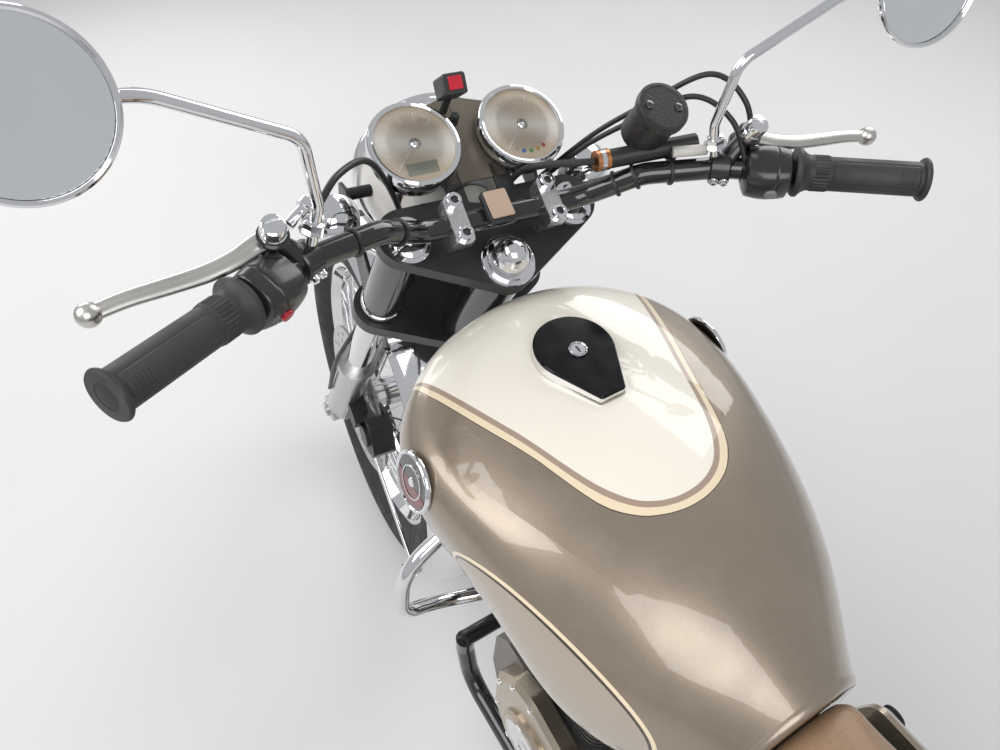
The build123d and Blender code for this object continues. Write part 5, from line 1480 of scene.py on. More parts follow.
@dataclass
class TankPaint:
    """The tank's paint: metallic coat, white saddle panel, knee panels whose white is darkened as painted
    shade, and their lines.

    A distance in millimetres is kept positive inside each panel; each line is a band of that distance.
    Low on the flanks and in front the saddle panel ends at the belly's height, blended in smoothly.
    """

    saddle: tuple[tuple[float, float], ...] = (
        (0, 52.0), (17, 54), (34, 60.8), (44.7, 68.7), (53.4, 79), (62, 93), (69, 108.5), (75.8, 127.5),
        (86, 160), (92.5, 180), (98, 195), (113, 238), (121, 262), (133, 298), (160, 372))
    span: tuple[float, float] = (160.0, 400.0)
    knee_middle: tuple[float, float] = (32.0, 762.0)
    knee_half: tuple[float, float] = (112.8, 51.6)
    knee_tilt: float = 14.0
    belly: float = 800.0
    belly_blend: float = 65.0
    flake_metal: float = 0.62
    saddle_lines: Point = (5.4, 11.8, 12.6)
    knee_lines: Point = (3.1, 7.4, 7.6)
    metallic: Colour = (0.36, 0.29, 0.215)
    shade: Colour = (0.235, 0.19, 0.145)
    white: Colour = (0.84, 0.79, 0.68)
    cream: Colour = (0.80, 0.66, 0.46)
    taupe: Colour = (0.36, 0.26, 0.2)
    # the knee panels' white, darkened as painted shade
    greige: Colour = (0.37, 0.31, 0.25)
    ink: Colour = (0.045, 0.028, 0.022)

    def curve(self, n: Nodes, value: object, knots: np.ndarray) -> Socket:
        """Return a smooth function of a number through knots, both from 0 to 1.

        Args:
            n: the material's nodes.
            value: the number or socket.
            knots: places and values.

        Returns:
            The function's value.
        """
        node = n.add("ShaderNodeFloatCurve", {"Value": value})
        points = node.mapping.curves[0].points
        while len(points) < len(knots):
            points.new(0.5, 0.5)
        for point, (x, y) in zip(points, knots):
            point.location = (x, y)
        node.mapping.update()
        return node.outputs[0]

    def saddle_distance(self, n: Nodes, x: object, y: object, rise: object) -> Socket:
        """Return the distance inside the saddle panel: (x - b(|y|)) cos(slope) over the surface's rise.

        Args:
            n: the material's nodes.
            x: place along the machine, as a socket.
            y: place across it, as a socket.
            rise: the normal's upright part.

        Returns:
            The distance in millimetres.
        """
        knots = np.array(self.saddle)
        across, along = self.span
        side = n.maths("DIVIDE", n.maths("ABSOLUTE", y), across * MM)
        edge = self.curve(n, side, knots / self.span)
        slope = np.gradient(knots[:, 1], knots[:, 0])
        lean = self.curve(n, side, np.column_stack([knots[:, 0] / across, 1 / np.sqrt(1 + slope**2)]))
        ahead = n.maths("SUBTRACT", x, n.maths("MULTIPLY", edge, along * MM))
        flat = n.maths("MULTIPLY", n.maths("MULTIPLY", ahead, 1000.0), lean)
        return n.maths("DIVIDE", flat, n.maths("MAXIMUM", rise, 0.45))

    def reach(self, n: Nodes, u: Socket, v: Socket, a: float, b: float) -> Socket:
        """Return how far u and v reach in an ellipse: the root of (|u| / a) squared + (|v| / b) squared.

        Args:
            n: the material's nodes.
            u: place along the first half axis.
            v: place along the second.
            a: the first half axis.
            b: the second half axis.

        Returns:
            The reach, 1 on the ellipse.
        """
        across = n.maths("POWER", n.maths("DIVIDE", n.maths("ABSOLUTE", u), a), 2.0)
        along = n.maths("POWER", n.maths("DIVIDE", n.maths("ABSOLUTE", v), b), 2.0)
        return n.maths("SQRT", n.maths("ADD", across, along))

    def knee_distance(self, n: Nodes, x: object, z: object, out: object) -> Socket:
        """Return the distance inside the knee panel's ellipse: k1 (1 - k1) / k2, with k1 its scaled reach.

        Args:
            n: the material's nodes.
            x: place along the machine, as a socket.
            z: height, as a socket.
            out: the normal's part across the machine.

        Returns:
            The distance in millimetres.
        """
        c, s = math.cos(math.radians(self.knee_tilt)), math.sin(math.radians(self.knee_tilt))
        dx = n.maths("MULTIPLY_ADD", x, 1000.0, -self.knee_middle[0])
        dz = n.maths("MULTIPLY_ADD", z, 1000.0, -self.knee_middle[1])
        u = n.maths("ADD", n.maths("MULTIPLY", dx, c), n.maths("MULTIPLY", dz, s))
        v = n.maths("SUBTRACT", n.maths("MULTIPLY", dz, c), n.maths("MULTIPLY", dx, s))
        a, b = self.knee_half
        k1, k2 = self.reach(n, u, v, a, b), self.reach(n, u, v, a * a, b * b)
        flat = n.maths(
            "DIVIDE", n.maths("MULTIPLY", k1, n.maths("SUBTRACT", 1.0, k1)), n.maths("MAXIMUM", k2, 1e-5))
        return n.maths("DIVIDE", flat, n.maths("MAXIMUM", out, 0.5))

    def material(self) -> Material:
        """Build the paint: flake in colour and normal, lines by distance, one clear coat over all.

        Returns:
            The material.
        """
        n = Nodes("tank_two_tone_paint")
        place = n.add("ShaderNodeSeparateXYZ", {0: n.coords}).outputs
        facing = n.add("ShaderNodeSeparateXYZ", {0: n.add("ShaderNodeNewGeometry").outputs["Normal"]}).outputs
        saddle = self.saddle_distance(n, place[0], place[1], facing[2])
        height = n.maths("MULTIPLY_ADD", place[2], 1000.0, -self.belly)
        saddle = n.maths("SMOOTH_MIN", saddle, height, self.belly_blend)
        knee = self.knee_distance(n, place[0], place[2], n.maths("ABSOLUTE", facing[1]))
        flake = n.noise(1500.0, 2.0, (1, 1, 1), 0.6)
        drift = n.noise(5.0, 3.0)
        colour = n.ramp(n.maths("MULTIPLY_ADD", flake, 0.6, n.maths("MULTIPLY", drift, 0.4)),
                        ((0.34, self.shade), (0.66, self.metallic)))
        metal = self.flake_metal
        # inside the knee panels their white is darkened as painted shade
        bands = ((saddle, self.saddle_lines, (self.ink, self.cream, self.taupe, self.white)),
                 (knee, self.knee_lines, (self.ink, self.cream, self.ink, self.greige)))
        for distance, lines, colours in bands:
            for outer, paint in zip((lines[2], lines[1], lines[0], 0.0), colours):
                inside = n.scaled(distance, -outer - 0.12, -outer + 0.12, 0.0, 1.0)
                colour = n.blend(inside, colour, paint)
            solid = n.scaled(distance, -lines[2] - 0.1, -lines[2] + 0.1, 1.0, 0.0)
            metal = n.maths("MULTIPLY", metal, solid)
        dust = n.scaled(n.noise(30.0, 6.0), 0.4, 0.8, 0.3, 0.42)
        peel = n.bump(n.noise(260.0, 2.0), 0.000004)
        return n.set(Base_Color=colour, Metallic=metal, Roughness=dust, Coat_Weight=1.0, Coat_Roughness=0.035,
                     Normal=n.bump(flake, 0.000012, 1.0, peel))


@dataclass(frozen=True)
class CapEnamel(Finish):
    """Black enamel on a lid whose wall, under a level of its own plane, is chromed."""

    level: float = 0.9045
    tilt: float = 2.0
    middle: float = 0.213
    edge: float = 0.0002

    def material(self) -> Material:
        """Build the finish: height over the lid's plane tells wall from top.

        Returns:
            The material.
        """
        n = Nodes(self.name)
        place = n.add("ShaderNodeSeparateXYZ", {0: n.coords}).outputs
        slope = math.tan(math.radians(self.tilt))
        height = n.maths("SUBTRACT", place[2], n.maths("MULTIPLY", place[0], slope))
        start = self.level - self.middle * slope
        top = n.scaled(height, start - self.edge, start + self.edge, 0.0, 1.0)
        scuffs = n.scaled(n.noise(45.0, 5.0), 0.35, 0.75, self.rough, self.rough * 2.2)
        return n.set(
            Base_Color=n.blend(top, (0.8, 0.8, 0.81), self.colour), Metallic=n.maths("SUBTRACT", 1.0, top),
            Roughness=n.maths("MULTIPLY_ADD", top, n.maths("SUBTRACT", scuffs, 0.06), 0.06),
            Specular_IOR_Level=0.2)


@dataclass
class Tank(Group):
    """The tank's paint, its rolled tail, badges, the cap's lock and the filler's neck."""

    usual: ClassVar[str] = "fuel_tank"
    tail: tuple[float, float, float, float, float] = (576.0, 90.0, 819.0, 712.0, 684.0)
    corner: float = 23.7
    crown: float = 24.4
    roll: float = 9.0
    badge: tuple[float, float] = (214.0, 828.0)
    badge_radius: float = 31.0

    def surface_at(self, x: float, z: float, side: int, node: Piece) -> tuple[np.ndarray, np.ndarray]:
        """Return the flank's point and normal seen level from a side, in metres.

        Args:
            x: place along the machine.
            z: height over the floor.
            side: 1 for left, -1 for right.
            node: the tank's object.

        Returns:
            The point and the normal.
        """
        hit, spot, normal, _ = node.ray_cast(Vector((x * MM, side * 0.6, z * MM)), Vector((0, -side, 0)))
        if not hit:
            raise ValueError("the badge's place misses the tank")
        return np.array(spot), np.array(normal)

    def build_tail(self, paint: Material) -> None:
        """Build the tail's rolled lip, which turns the coat in behind the last section.

        Args:
            paint: the tank's paint.
        """
        start = np.array(self.tail)
        rows = np.vstack([start, rolled_end(start, self.roll, -1)])
        piece = crisp(lofted("tank_tail_lip", rows, self.corner, self.crown), 50)
        piece.data.materials.append(paint)
        self.fit(piece, None)

    def build_badge(self, side: int, tag: str, node: Piece) -> None:
        """Build a plain round badge: chromed rim, black field, dark red ring and a bright middle ring.

        Args:
            side: 1 for left, -1 for right.
            tag: the side's word in the pieces' names.
            node: the tank's object.
        """
        spot, normal = self.surface_at(*self.badge, side, node)
        place = WORLD.at(spot - normal * 0.0012, normal, (1, 0, 0))
        r = self.badge_radius
        self.turn(
            f"badge_rim_{tag}", place,
            ((r - 6, 0), (r, 0), (r + 0.4, 2), (r - 0.3, 4), (r - 1.6, 5), (r - 3.1, 4.6), (r - 4, 3.2),
             (r - 6, 3)), 96, CHROME)
        self.turn(
            f"badge_field_{tag}", place, ((0, 1), (r - 3.4, 1), (r - 3.4, 3.3), (0, 3.9)), 72,
            Finish("badge_black_enamel", (0.01, 0.009, 0.009), 0.12, coat=1.0))
        a = np.linspace(0.06, math.pi - 0.06, 48)
        half = (r - 5.5) * np.column_stack([np.cos(a), side * np.sin(a)])
        self.fit(
            plate(f"badge_lower_{tag}", Place(place.put(mm(0, 0, 3.1)), place.axes), half, 0.75, 0.2),
            Finish("badge_red_enamel", (0.13, 0.008, 0.012), 0.14, coat=1.0))
        wire = turned(f"badge_wire_{tag}", place, ((16, 3.6), (17.6, 3.6), (17.4, 4.5), (16.2, 4.5)), 72)
        star = turned(f"badge_boss_{tag}", place, ((0, 3.6), (5, 3.6), (4.2, 4.8), (0, 5.6)), 32)
        self.fit(join(f"badge_brightwork_{tag}", [wire, star]), CHROME)

    def build_cap(self) -> None:
        """Build the cap's lock with a black plate in its key slot as painted shade, and the filler's sleeve
        with a black disc under it as painted shade inside the tank.
        """
        c, s = math.cos(math.radians(-2.0)), math.sin(math.radians(-2.0))
        place = on_machine(913, 0, 907.4, (s, 0, c))
        lock = WORLD.at(place.put(mm(0, -6, 0)), place.axes[2], place.axes[0])
        ring = turned("lock_ring", lock, ((7.4, 0.6), (9.4, 0.6), (9.2, 2.0), (8.4, 2.4), (7.6, 1.8)), 48)
        barrel = turned("lock_barrel", lock, ((0, 0.6), (7.2, 0.6), (7.2, 1.5), (0, 1.5)), 32)
        self.fit(join("cap_lock", [ring, barrel]), CHROME, "fuel_cap", body=Body.CAP)
        top = WORLD.at(place.put(mm(0, -6, 1.3)), place.axes[2], place.axes[0])
        # painted shade: a thin black plate stands for the dark opening of the key slot
        slot = plate("key_slot_painted_shade", top, rounded(1.8, 8, 0.8), 0.5, 0.1)
        self.fit(slot, BLACK_PLASTIC, "fuel_cap", body=Body.CAP)
        neck = on_machine(919, 0, 895.3, (s, 0, c))
        self.turn(
            "filler_sleeve", neck,
            ((17.4, -31), (20.7, -31), (20.7, -1.0), (20.0, -0.5), (18.2, -0.5), (17.4, -1.2)), 72, STEEL)
        # painted shade: a black disc closes the sleeve and stands for the dark inside of the tank
        self.turn(
            "filler_painted_shade_disc", neck, ((0, -31.6), (20.7, -31.6), (20.7, -30.8), (0, -30.8)), 48, SHELL_BLACK)

    def build(self) -> None:
        """Paint the tank and build its trim."""
        node = self.shop.frame["nodes"]["fuel_tank"]
        paint = TankPaint().material()
        node.data.materials.clear()
        node.data.materials.append(paint)
        self.build_tail(paint)
        for side, tag in SIDES:
            self.build_badge(side, tag, node)
        self.shop.paint.coat(
            self.shop.frame["nodes"]["fuel_cap"], CapEnamel("cap_black_enamel", (0.006, 0.006, 0.007), 0.1))
        self.build_cap()


@dataclass
class Saddle(Group):
    """The padded seat, blown up by cloth simulation, with its welt, seam and stitches."""

    usual: ClassVar[str] = "seat"
    stations: tuple[tuple[float, float, float, float, float], ...] = (
        (-92, 84, 812, 784, 750), (-60, 108, 824, 788, 741), (40, 118, 814, 780, 731),
        (120, 118, 804, 776, 729), (230, 116, 791, 766, 726), (330, 108, 786, 762, 725),
        (450, 77, 788, 764, 728), (520, 59, 794, 770, 733), (552, 53, 798, 774, 739))
    corner: float = 12.0
    crown: float = 13.0
    swell: float = 0.006
    voxel: float = 0.006
    steps: int = 20
    rests_under: float = 0.752
    seam: float = 118.0
    seam_bow: float = 14.0
    half_width: float = 118.0
    seam_depth: float = 0.0032

    def core(self) -> Piece:
        """Loft the foam: smooth rows through the stations, rolled over at nose and tail.

        Returns:
            The foam's object.
        """
        rows = smooth_path(self.stations, 12)
        rows = np.vstack([rolled_end(rows[0], 16, -1)[::-1], rows, rolled_end(rows[-1], 17, 1)])
        return lofted("seat", rows, self.corner, self.crown)

    def blow_up(self, piece: Piece) -> None:
        """Swell the foam under its cover: voxels, steps of cloth under pressure, points held to the cap.

        Args:
            piece: the mesh object.
        """
        scene = bpy.context.scene
        with bpy.context.temp_override(active_object=piece, object=piece, selected_objects=[piece]):
            remesh = piece.modifiers.new("voxels", "REMESH")
            remesh.mode = "VOXEL"
            remesh.voxel_size = self.voxel
            bpy.ops.object.modifier_apply(modifier=remesh.name)
            start = self.points(piece)
            cloth = piece.modifiers.new("cover", "CLOTH")
            cloth.settings.use_pressure = True
            cloth.settings.uniform_pressure_force = 4.0
            cloth.settings.effector_weights.gravity = 0.0
            cloth.settings.tension_stiffness = 12.0
            cloth.point_cache.frame_start = 1
            cloth.point_cache.frame_end = self.steps
            for step in range(1, self.steps + 1):
                scene.frame_set(step)
            bpy.ops.object.modifier_apply(modifier=cloth.name)
            scene.frame_set(1)
        moved = self.points(piece) - start
        length = np.linalg.norm(moved, axis=1, keepdims=True)
        held = start + moved * np.minimum(1.0, self.swell / np.maximum(length, 1e-9))
        resting = start[:, 2] < self.rests_under
        held[resting] = start[resting]
        piece.data.vertices.foreach_set("co", held.ravel())
        piece.data.update()
        with bpy.context.temp_override(active_object=piece, object=piece, selected_objects=[piece]):
            soften = piece.modifiers.new("soften", "SMOOTH")
            soften.factor = 0.5
            soften.iterations = 6
            bpy.ops.object.modifier_apply(modifier=soften.name)

    def points(self, piece: Piece) -> np.ndarray:
        """Return a mesh's vertices as an array.

        Args:
            piece: the mesh object.

        Returns:
            The points, shaped (n, 3).
        """
        flat = np.empty(len(piece.data.vertices) * 3)
        piece.data.vertices.foreach_get("co", flat)
        return flat.reshape(-1, 3)

    def sew(self, piece: Piece) -> None:
        """Draw the cover in along the cross seam: its depth times exp(-(distance / 5 mm) squared).

        Args:
            piece: the mesh object.
        """
        points = self.points(piece)
        x = points[:, 0] * 1000 + REAR_AXLE
        bow = self.seam + self.seam_bow * (points[:, 1] / (self.half_width * MM)) ** 2
        above = np.clip((points[:, 2] - 0.757) / 0.015, 0, 1)
        dip = self.seam_depth * np.exp(-((x - bow) / 5.0) ** 2) * above
        points[:, 2] -= dip
        piece.data.vertices.foreach_set("co", points.ravel())
        piece.data.update()

    def leather(self) -> Material:
        """Make the cover: tan vinyl with pebbled grain, darker creases and a soft sheen.

        Returns:
            The material.
        """
        n = Nodes("seat_tan_vinyl_cover")
        voronoi = n.add("ShaderNodeTexVoronoi", {"Vector": n.coords, "Scale": 620.0}, feature="SMOOTH_F1")
        cells = voronoi.outputs["Distance"]
        fine = n.noise(2200.0, 2.0)
        blotch = n.noise(11.0, 5.0)
        colour = n.ramp(blotch, ((0.3, (0.265, 0.158, 0.087)), (0.7, (0.36, 0.225, 0.128))))
        colour = n.blend(n.scaled(cells, 0.2, 0.8, 0.0, 0.35), colour, (0.15, 0.085, 0.045))
        height = n.maths("MULTIPLY_ADD", cells, -0.8, n.maths("MULTIPLY", fine, 0.2))
        rough = n.scaled(n.noise(40.0, 4.0), 0.3, 0.7, 0.36, 0.5)
        return n.set(Base_Color=colour, Roughness=rough, Normal=n.bump(height, 0.00028), Sheen_Weight=0.12)

    def trim(self, piece: Piece) -> None:
        """Lay the welt along the cover's lower rim and a double row of stitches beside the cross seam.

        Args:
            piece: the mesh object.
        """
        rows = smooth_path(self.stations, 12)[2:-2]
        half, belly, bottom = rows[:, 1], rows[:, 3], rows[:, 4]
        flat_z = bottom + 0.42 * (belly - bottom)
        loops = []
        for side in (1, -1):
            guess = np.column_stack([rows[:, 0] - REAR_AXLE, side * (half + 20), flat_z]) * MM
            loops.append(self.snapped(piece, guess, (0, -side, 0), 0.0008))
        welt = [swept(f"seat_welt_{k}", path, 0.0028, 12) for k, path in enumerate(loops)]
        self.fit(
            join("seat_welt", welt, None), Finish("welt_dark_tan", (0.13, 0.07, 0.04), 0.5, vary=0.15))
        stitches = []
        for offset in (-9.0, 9.0):
            y = np.arange(-96, 96.1, 5.2)
            x = self.seam + self.seam_bow * (y / self.half_width) ** 2 + offset - REAR_AXLE
            guess = np.column_stack([x, y, np.full_like(y, 900)]) * MM
            on = self.snapped(piece, guess, (0, 0, -1), 0.0003)
            ends = np.stack([on + mm(0, -1.7, 0), on + mm(0, 1.7, 0)], axis=1)
            stitches += [swept(f"stitch_{offset}_{k}", np.linspace(a, b, 4),
                               np.array([0.3, 0.55, 0.55, 0.3]) * MM, 6)
                         for k, (a, b) in enumerate(ends)]
        self.fit(
            join("seat_stitches", stitches, None), Finish("thread_tan", (0.5, 0.36, 0.2), 0.6, vary=0.1))

    def snapped(self, piece: Piece, guess: np.ndarray, way: Sequence[float], lift: float) -> np.ndarray:
        """Drop points along a direction on to a mesh and lift them by a little.

        Args:
            piece: the mesh object.
            guess: the points to drop.
            way: the direction.
            lift: height over the mesh.

        Returns:
            The points that met the mesh.
        """
        spots = []
        for point in guess:
            hit, spot, normal, _ = piece.ray_cast(Vector(point), Vector(way))
            if hit:
                spots.append(np.array(spot) + np.array(normal) * lift)
        return np.array(spots)

    def build(self) -> None:
        """Build the seat."""
        piece = self.core()
        self.blow_up(piece)
        self.sew(piece)
        smooth = piece.modifiers.new("smooth", "SUBSURF")
        smooth.levels = smooth.render_levels = 1
        piece.data.polygons.foreach_set("use_smooth", [True] * len(piece.data.polygons))
        piece.data.materials.clear()
        piece.data.materials.append(self.leather())
        self.fit(piece, None, stands=True)
        self.trim(piece)


def arc_through(first: Sequence[float], middle: Sequence[float], last: Sequence[float],
                steps: int) -> np.ndarray:
    """Return points on the circle through three points.

    The middle m solves 2 (b - a) . m = b.b - a.a and 2 (c - a) . m = c.c - a.a.

    Args:
        first: where the arc starts.
        middle: a point that it passes.
        last: where it ends.
        steps: points along the curve.

    Returns:
        The arc's points.
    """
    a, b, c = (np.array(p, dtype=float) for p in (first, middle, last))
    centre = np.linalg.solve(2 * np.stack([b - a, c - a]), np.array([b @ b - a @ a, c @ c - a @ a]))
    angle = [math.atan2(*(p - centre)[::-1]) for p in (a, b, c)]
    span = (angle[2] - angle[0]) % (2 * math.pi)
    if (angle[1] - angle[0]) % (2 * math.pi) > span:
        span -= 2 * math.pi
    t = angle[0] + np.linspace(0, span, steps)
    return centre + np.linalg.norm(a - centre) * np.column_stack([np.cos(t), np.sin(t)])


@dataclass
class Tyre(Group):
    """A road tyre with three wandering grooves and slanted sipes on its shoulders."""

    name: str
    body: Body
    node: str
    centre: Point
    axle: Point
    radius: float
    width: float
    bead: float
    depth: float = 3.4
    blocks: int = 48

    def outline(self) -> np.ndarray:
        """Return the section, as offset along the axle and radius: sidewall, crown and sidewall.

        Returns:
            The section's points.
        """
        half, shoulder = self.width / 2, self.radius - 0.24 * self.width
        middle = (self.bead + shoulder) / 2
        left = arc_through((-28, self.bead), (-half, middle), (-half + 4, shoulder), 12)
        crown = arc_through((-half + 4, shoulder), (0, self.radius), (half - 4, shoulder), 65)
        return np.vstack([left, crown[1:-1], left[::-1] * (-1, 1)])

    def build(self) -> None:
        """Build the tyre: radius less depth times how deep each groove is at (angle, offset)."""
        section = self.outline()
        a = circle(12 * self.blocks)[:, None]
        across, reach = section[:, 0][None], section[:, 1][None]
        share = across / (self.width / 2)
        wander = 0.035 * np.abs((a * self.blocks / math.pi) % 2 - 1)
        grooves = np.maximum.reduce([np.clip(1.6 - np.abs(share - middle - wander) / 0.028, 0, 1)
                                     for middle in (-0.42, -0.02, 0.38)])
        wave = np.sin(a * self.blocks + 7.0 * np.abs(share))
        edge = np.clip((np.abs(share) - 0.47) * 30, 0, 1) * np.clip((0.93 - np.abs(share)) * 30, 0, 1)
        sipes = np.clip((wave - 0.72) * 7, 0, 1) * edge
        crown = (reach > self.radius - 0.26 * self.width) * 1.0
        r = reach - self.depth * np.maximum(grooves, sipes) * crown
        grid = np.stack([r * np.cos(a), r * np.sin(a), np.broadcast_to(across, r.shape)], axis=-1)
        piece = surface(self.name, WORLD.at(self.centre, self.axle, (0, 0, 1)).put(grid * MM), True, True)
        crisp(piece, 38)
        self.fit(piece, TYRE, self.node, stands=True, body=self.body)


@dataclass
class Chain(Group):
    """The roller chain: pins at even steps round both sprockets, with plates in turn inside and outside."""

    rear: tuple[float, float] = (0.0, 346.0)
    front: tuple[float, float] = (572.0, 392.0)
    rear_radius: float = 92.0
    front_radius: float = 38.0
    offset: float = 72.0
    pitch: float = 15.875
    upright: ClassVar[np.ndarray] = np.array([[1.0, 0, 0], [0, 0, -1], [0, 1, 0]])

    def pins(self) -> np.ndarray:
        """Return the pins' x and z: the loop of two arcs and two tangents, cut into equal steps.

        Returns:
            The pins' places, shaped (count, 2).
        """
        a, b = np.array(self.rear), np.array(self.front)
        way = math.atan2(*(b - a)[::-1])
        lean = math.acos((self.rear_radius - self.front_radius) / np.linalg.norm(b - a))
        back = np.linspace(way + lean, way - lean + 2 * math.pi, 200)
        ahead = np.linspace(way - lean, way + lean, 100)
        loop = np.vstack([a + self.rear_radius * np.column_stack([np.cos(back), np.sin(back)]),
                          b + self.front_radius * np.column_stack([np.cos(ahead), np.sin(ahead)])])
        loop = np.vstack([loop, loop[:1]])
        length = np.concatenate([[0], np.cumsum(np.linalg.norm(np.diff(loop, axis=0), axis=1))])
        count = 2 * round(length[-1] / self.pitch / 2)
        at = np.linspace(0, length[-1], count, endpoint=False)
        return np.column_stack([np.interp(at, length, loop[:, k]) for k in (0, 1)])

    def build(self) -> None:
        """Build rollers, inner plates and outer plates, each as one mesh of copies."""
        pins = self.pins()
        step = np.roll(pins, -1, axis=0) - pins
        turns = [Matrix.Translation((x * MM - 0.7, 0, z * MM)) @ Matrix.Rotation(-math.atan2(dz, dx), 4, "Y")
                 for (x, z), (dx, dz) in zip(pins, step)]
        dumbbell = rounded(25.0, 12.0, 6.0, 4)
        dumbbell[:, 0] += self.pitch / 2
        dumbbell[:, 1] *= 1 - 0.16 * np.exp(-((dumbbell[:, 0] - self.pitch / 2) / 5) ** 2)
        parts = []
        for start, gaps in ((0, (-5.0, 3.4)), (1, (-6.8, 5.2))):
            for gap in gaps:
                side = Place(mm(0, self.offset + gap, 0), self.upright)
                parts.append(
                    repeat(plate(f"chain_plate_{start}_{gap}", side, dumbbell, 1.6, 0.3), turns[start::2]))
        pin = turned(
            "chain_pins", Place(mm(0, self.offset, 0), self.upright),
            ((0, -8), (2.4, -8), (2.4, -3.4), (4.6, -3.4), (4.6, 3.4), (2.4, 3.4), (2.4, 8), (0, 8)), 10)
        parts.append(repeat(pin, turns))
        self.fit(join("drive_chain_links", parts), CHAIN_STEEL, "drive_chain", stands=True)


@dataclass
class TailLamp(Group):
    """The round tail lamp: chromed bowl, ribbed red lens and its bracket."""

    usual: ClassVar[str] = "tail_lamp"
    middle: Point = (-292.0, 0.0, 640.4)
    radius: float = 44.0

    def build(self) -> None:
        """Build the bowl, the lens with concentric ribs and the bracket over the mudguard."""
        r = self.radius
        here = on_machine(*self.middle, (-1, 0, 0.1))
        self.turn(
            "tail_lamp_bowl", here,
            ((0, -30), (r * 0.5, -29.4), (r * 0.72, -27), (r * 0.9, -17), (r - 0.5, -5), (r, -2), (r, 5),
             (r - 1.4, 6.6), (r - 4, 6), (r - 4.4, 3)), 96, CHROME, stands=True)
        t = np.linspace(0, 1, 46)
        ribs = 0.5 * np.abs(np.sin(t * math.pi * 11))
        outside = np.column_stack([(r - 4.2) * (1 - t**2.2), 5 + 17.4 * np.sin(t * math.pi / 2) + ribs])
        self.turn("tail_lamp_lens", here, [(0, 2), (r - 4.2, 2), *outside], 96, RED_LENS)
        side = Place(mm(-700, -22, 0), np.array([[1.0, 0, 0], [0, 0, 1], [0, 1, 0]]))
        outline = np.array(((-272, 652), (-222, 631), (-238, 615), (-262, 593), (-272, 600)))
        self.fit(plate("tail_lamp_bracket", side, outline, 44, 1.5), BLACK_SATIN)


@dataclass
class Engine(Group):
    """Bolts, plug, lead, header clamp, filler and trims on the engine."""

    usual: ClassVar[str] = "engine_covers"
    left_bolts: tuple[tuple[float, float], ...] = (
        (612, 312), (612, 392), (648, 430), (702, 450), (768, 464), (806, 450), (834, 404), (834, 328),
        (802, 276), (704, 263), (646, 276))
    right_bolts: tuple[tuple[float, float], ...] = (
        (606, 308), (616, 408), (658, 434), (756, 426), (834, 391), (836, 310), (792, 264), (660, 264))

    def build(self) -> None:
        """Build every detail of the engine."""
        spots = [on_machine(x, 114, z, (0, 1, 0), (1, 0, 0)) for x, z in self.left_bolts]
        spots += [on_machine(x, -116, z, (0, -1, 0), (1, 0, 0)) for x, z in self.right_bolts]
        a = np.radians(np.arange(0, 360, 60))
        spots += [on_machine(655 + 51 * c, -130.5, 360 + 51 * s, (0, -1, 0), (1, 0, 0))
                  for c, s in zip(np.cos(a), np.sin(a))]
        self.bolt_down("cover_bolts", spots, 4.6, 6)
        bolts = [hex_bolt(f"head_nut_{k}", on_machine(775 + x, y, 668), 6, 6)
                  for k, (x, y) in enumerate(((64, 40), (-64, 40), (64, -40), (-64, -40)))]
        bolts += [hex_bolt(f"header_nut_{k}", on_machine(889, y, z, (1, 0, 0)), 6, 8)
                  for k, (y, z) in enumerate(((4, 600), (-56, 557)))]
        self.fit(join("engine_bolts", bolts), CHROME)
        ring = turned(
            "alternator_trim", on_machine(753, 126, 353, (0, 1, 0), (1, 0, 0)),
            ((0, -1), (47, -1), (47, 0.6), (45.6, 1.6), (44, 1.6), (43, 0.4), (20, 0.4), (19, 1.4),
             (17.6, 1.4), (17, 0.2), (0, 0.2)), 96)
        filler = turned("oil_filler", on_machine(822, -119, 330, (0, -1, 0), (1, 0, 0)),
                        ((0, 0), (15, 0), (15, 3), (12, 4), (12, 11), (10.5, 12.5), (0, 12.5)), 48)
        self.fit(join("cover_trims", [ring, filler]), CHROME)
        plug = turned("spark_plug_cap", on_machine(775, 90, 628, (0.1, 0.86, 0.5), (1, 0, 0)),
                      ((0, -12), (9, -12), (11, -9), (11, 6), (9, 9), (9, 26), (7, 30), (0, 30)), 32)
        lead = swept(
            "spark_lead",
            machine_path(((777, 114, 643), (778, 124, 652), (774, 118, 664), (760, 96, 672), (728, 62, 680),
                          (700, 44, 690))), 3.6 * MM, 14)
        self.fit(join("spark_lead_and_cap", [plug, lead]), RUBBER, "cylinder")
        self.turn(
            "header_clamp", on_machine(886, -25.5, 578.5, (1, -0.07, -0.1)),
            ((20.5, -2), (34, -2), (36, 0), (36, 6), (34, 8), (22, 8), (20.5, 6)), 64, CARB_ALLOY,
            "exhaust")
        a = circle(64)
        hoop = 49.4 * MM * np.stack([np.cos(a), np.sin(a), np.zeros(64)], axis=-1)
        strap = on_machine(60, -184, 314, (-0.99, -0.068, 0.15)).put(hoop)
        self.fit(swept("silencer_strap", strap, 1.4 * MM, 8, closed=True), STEEL, "exhaust")


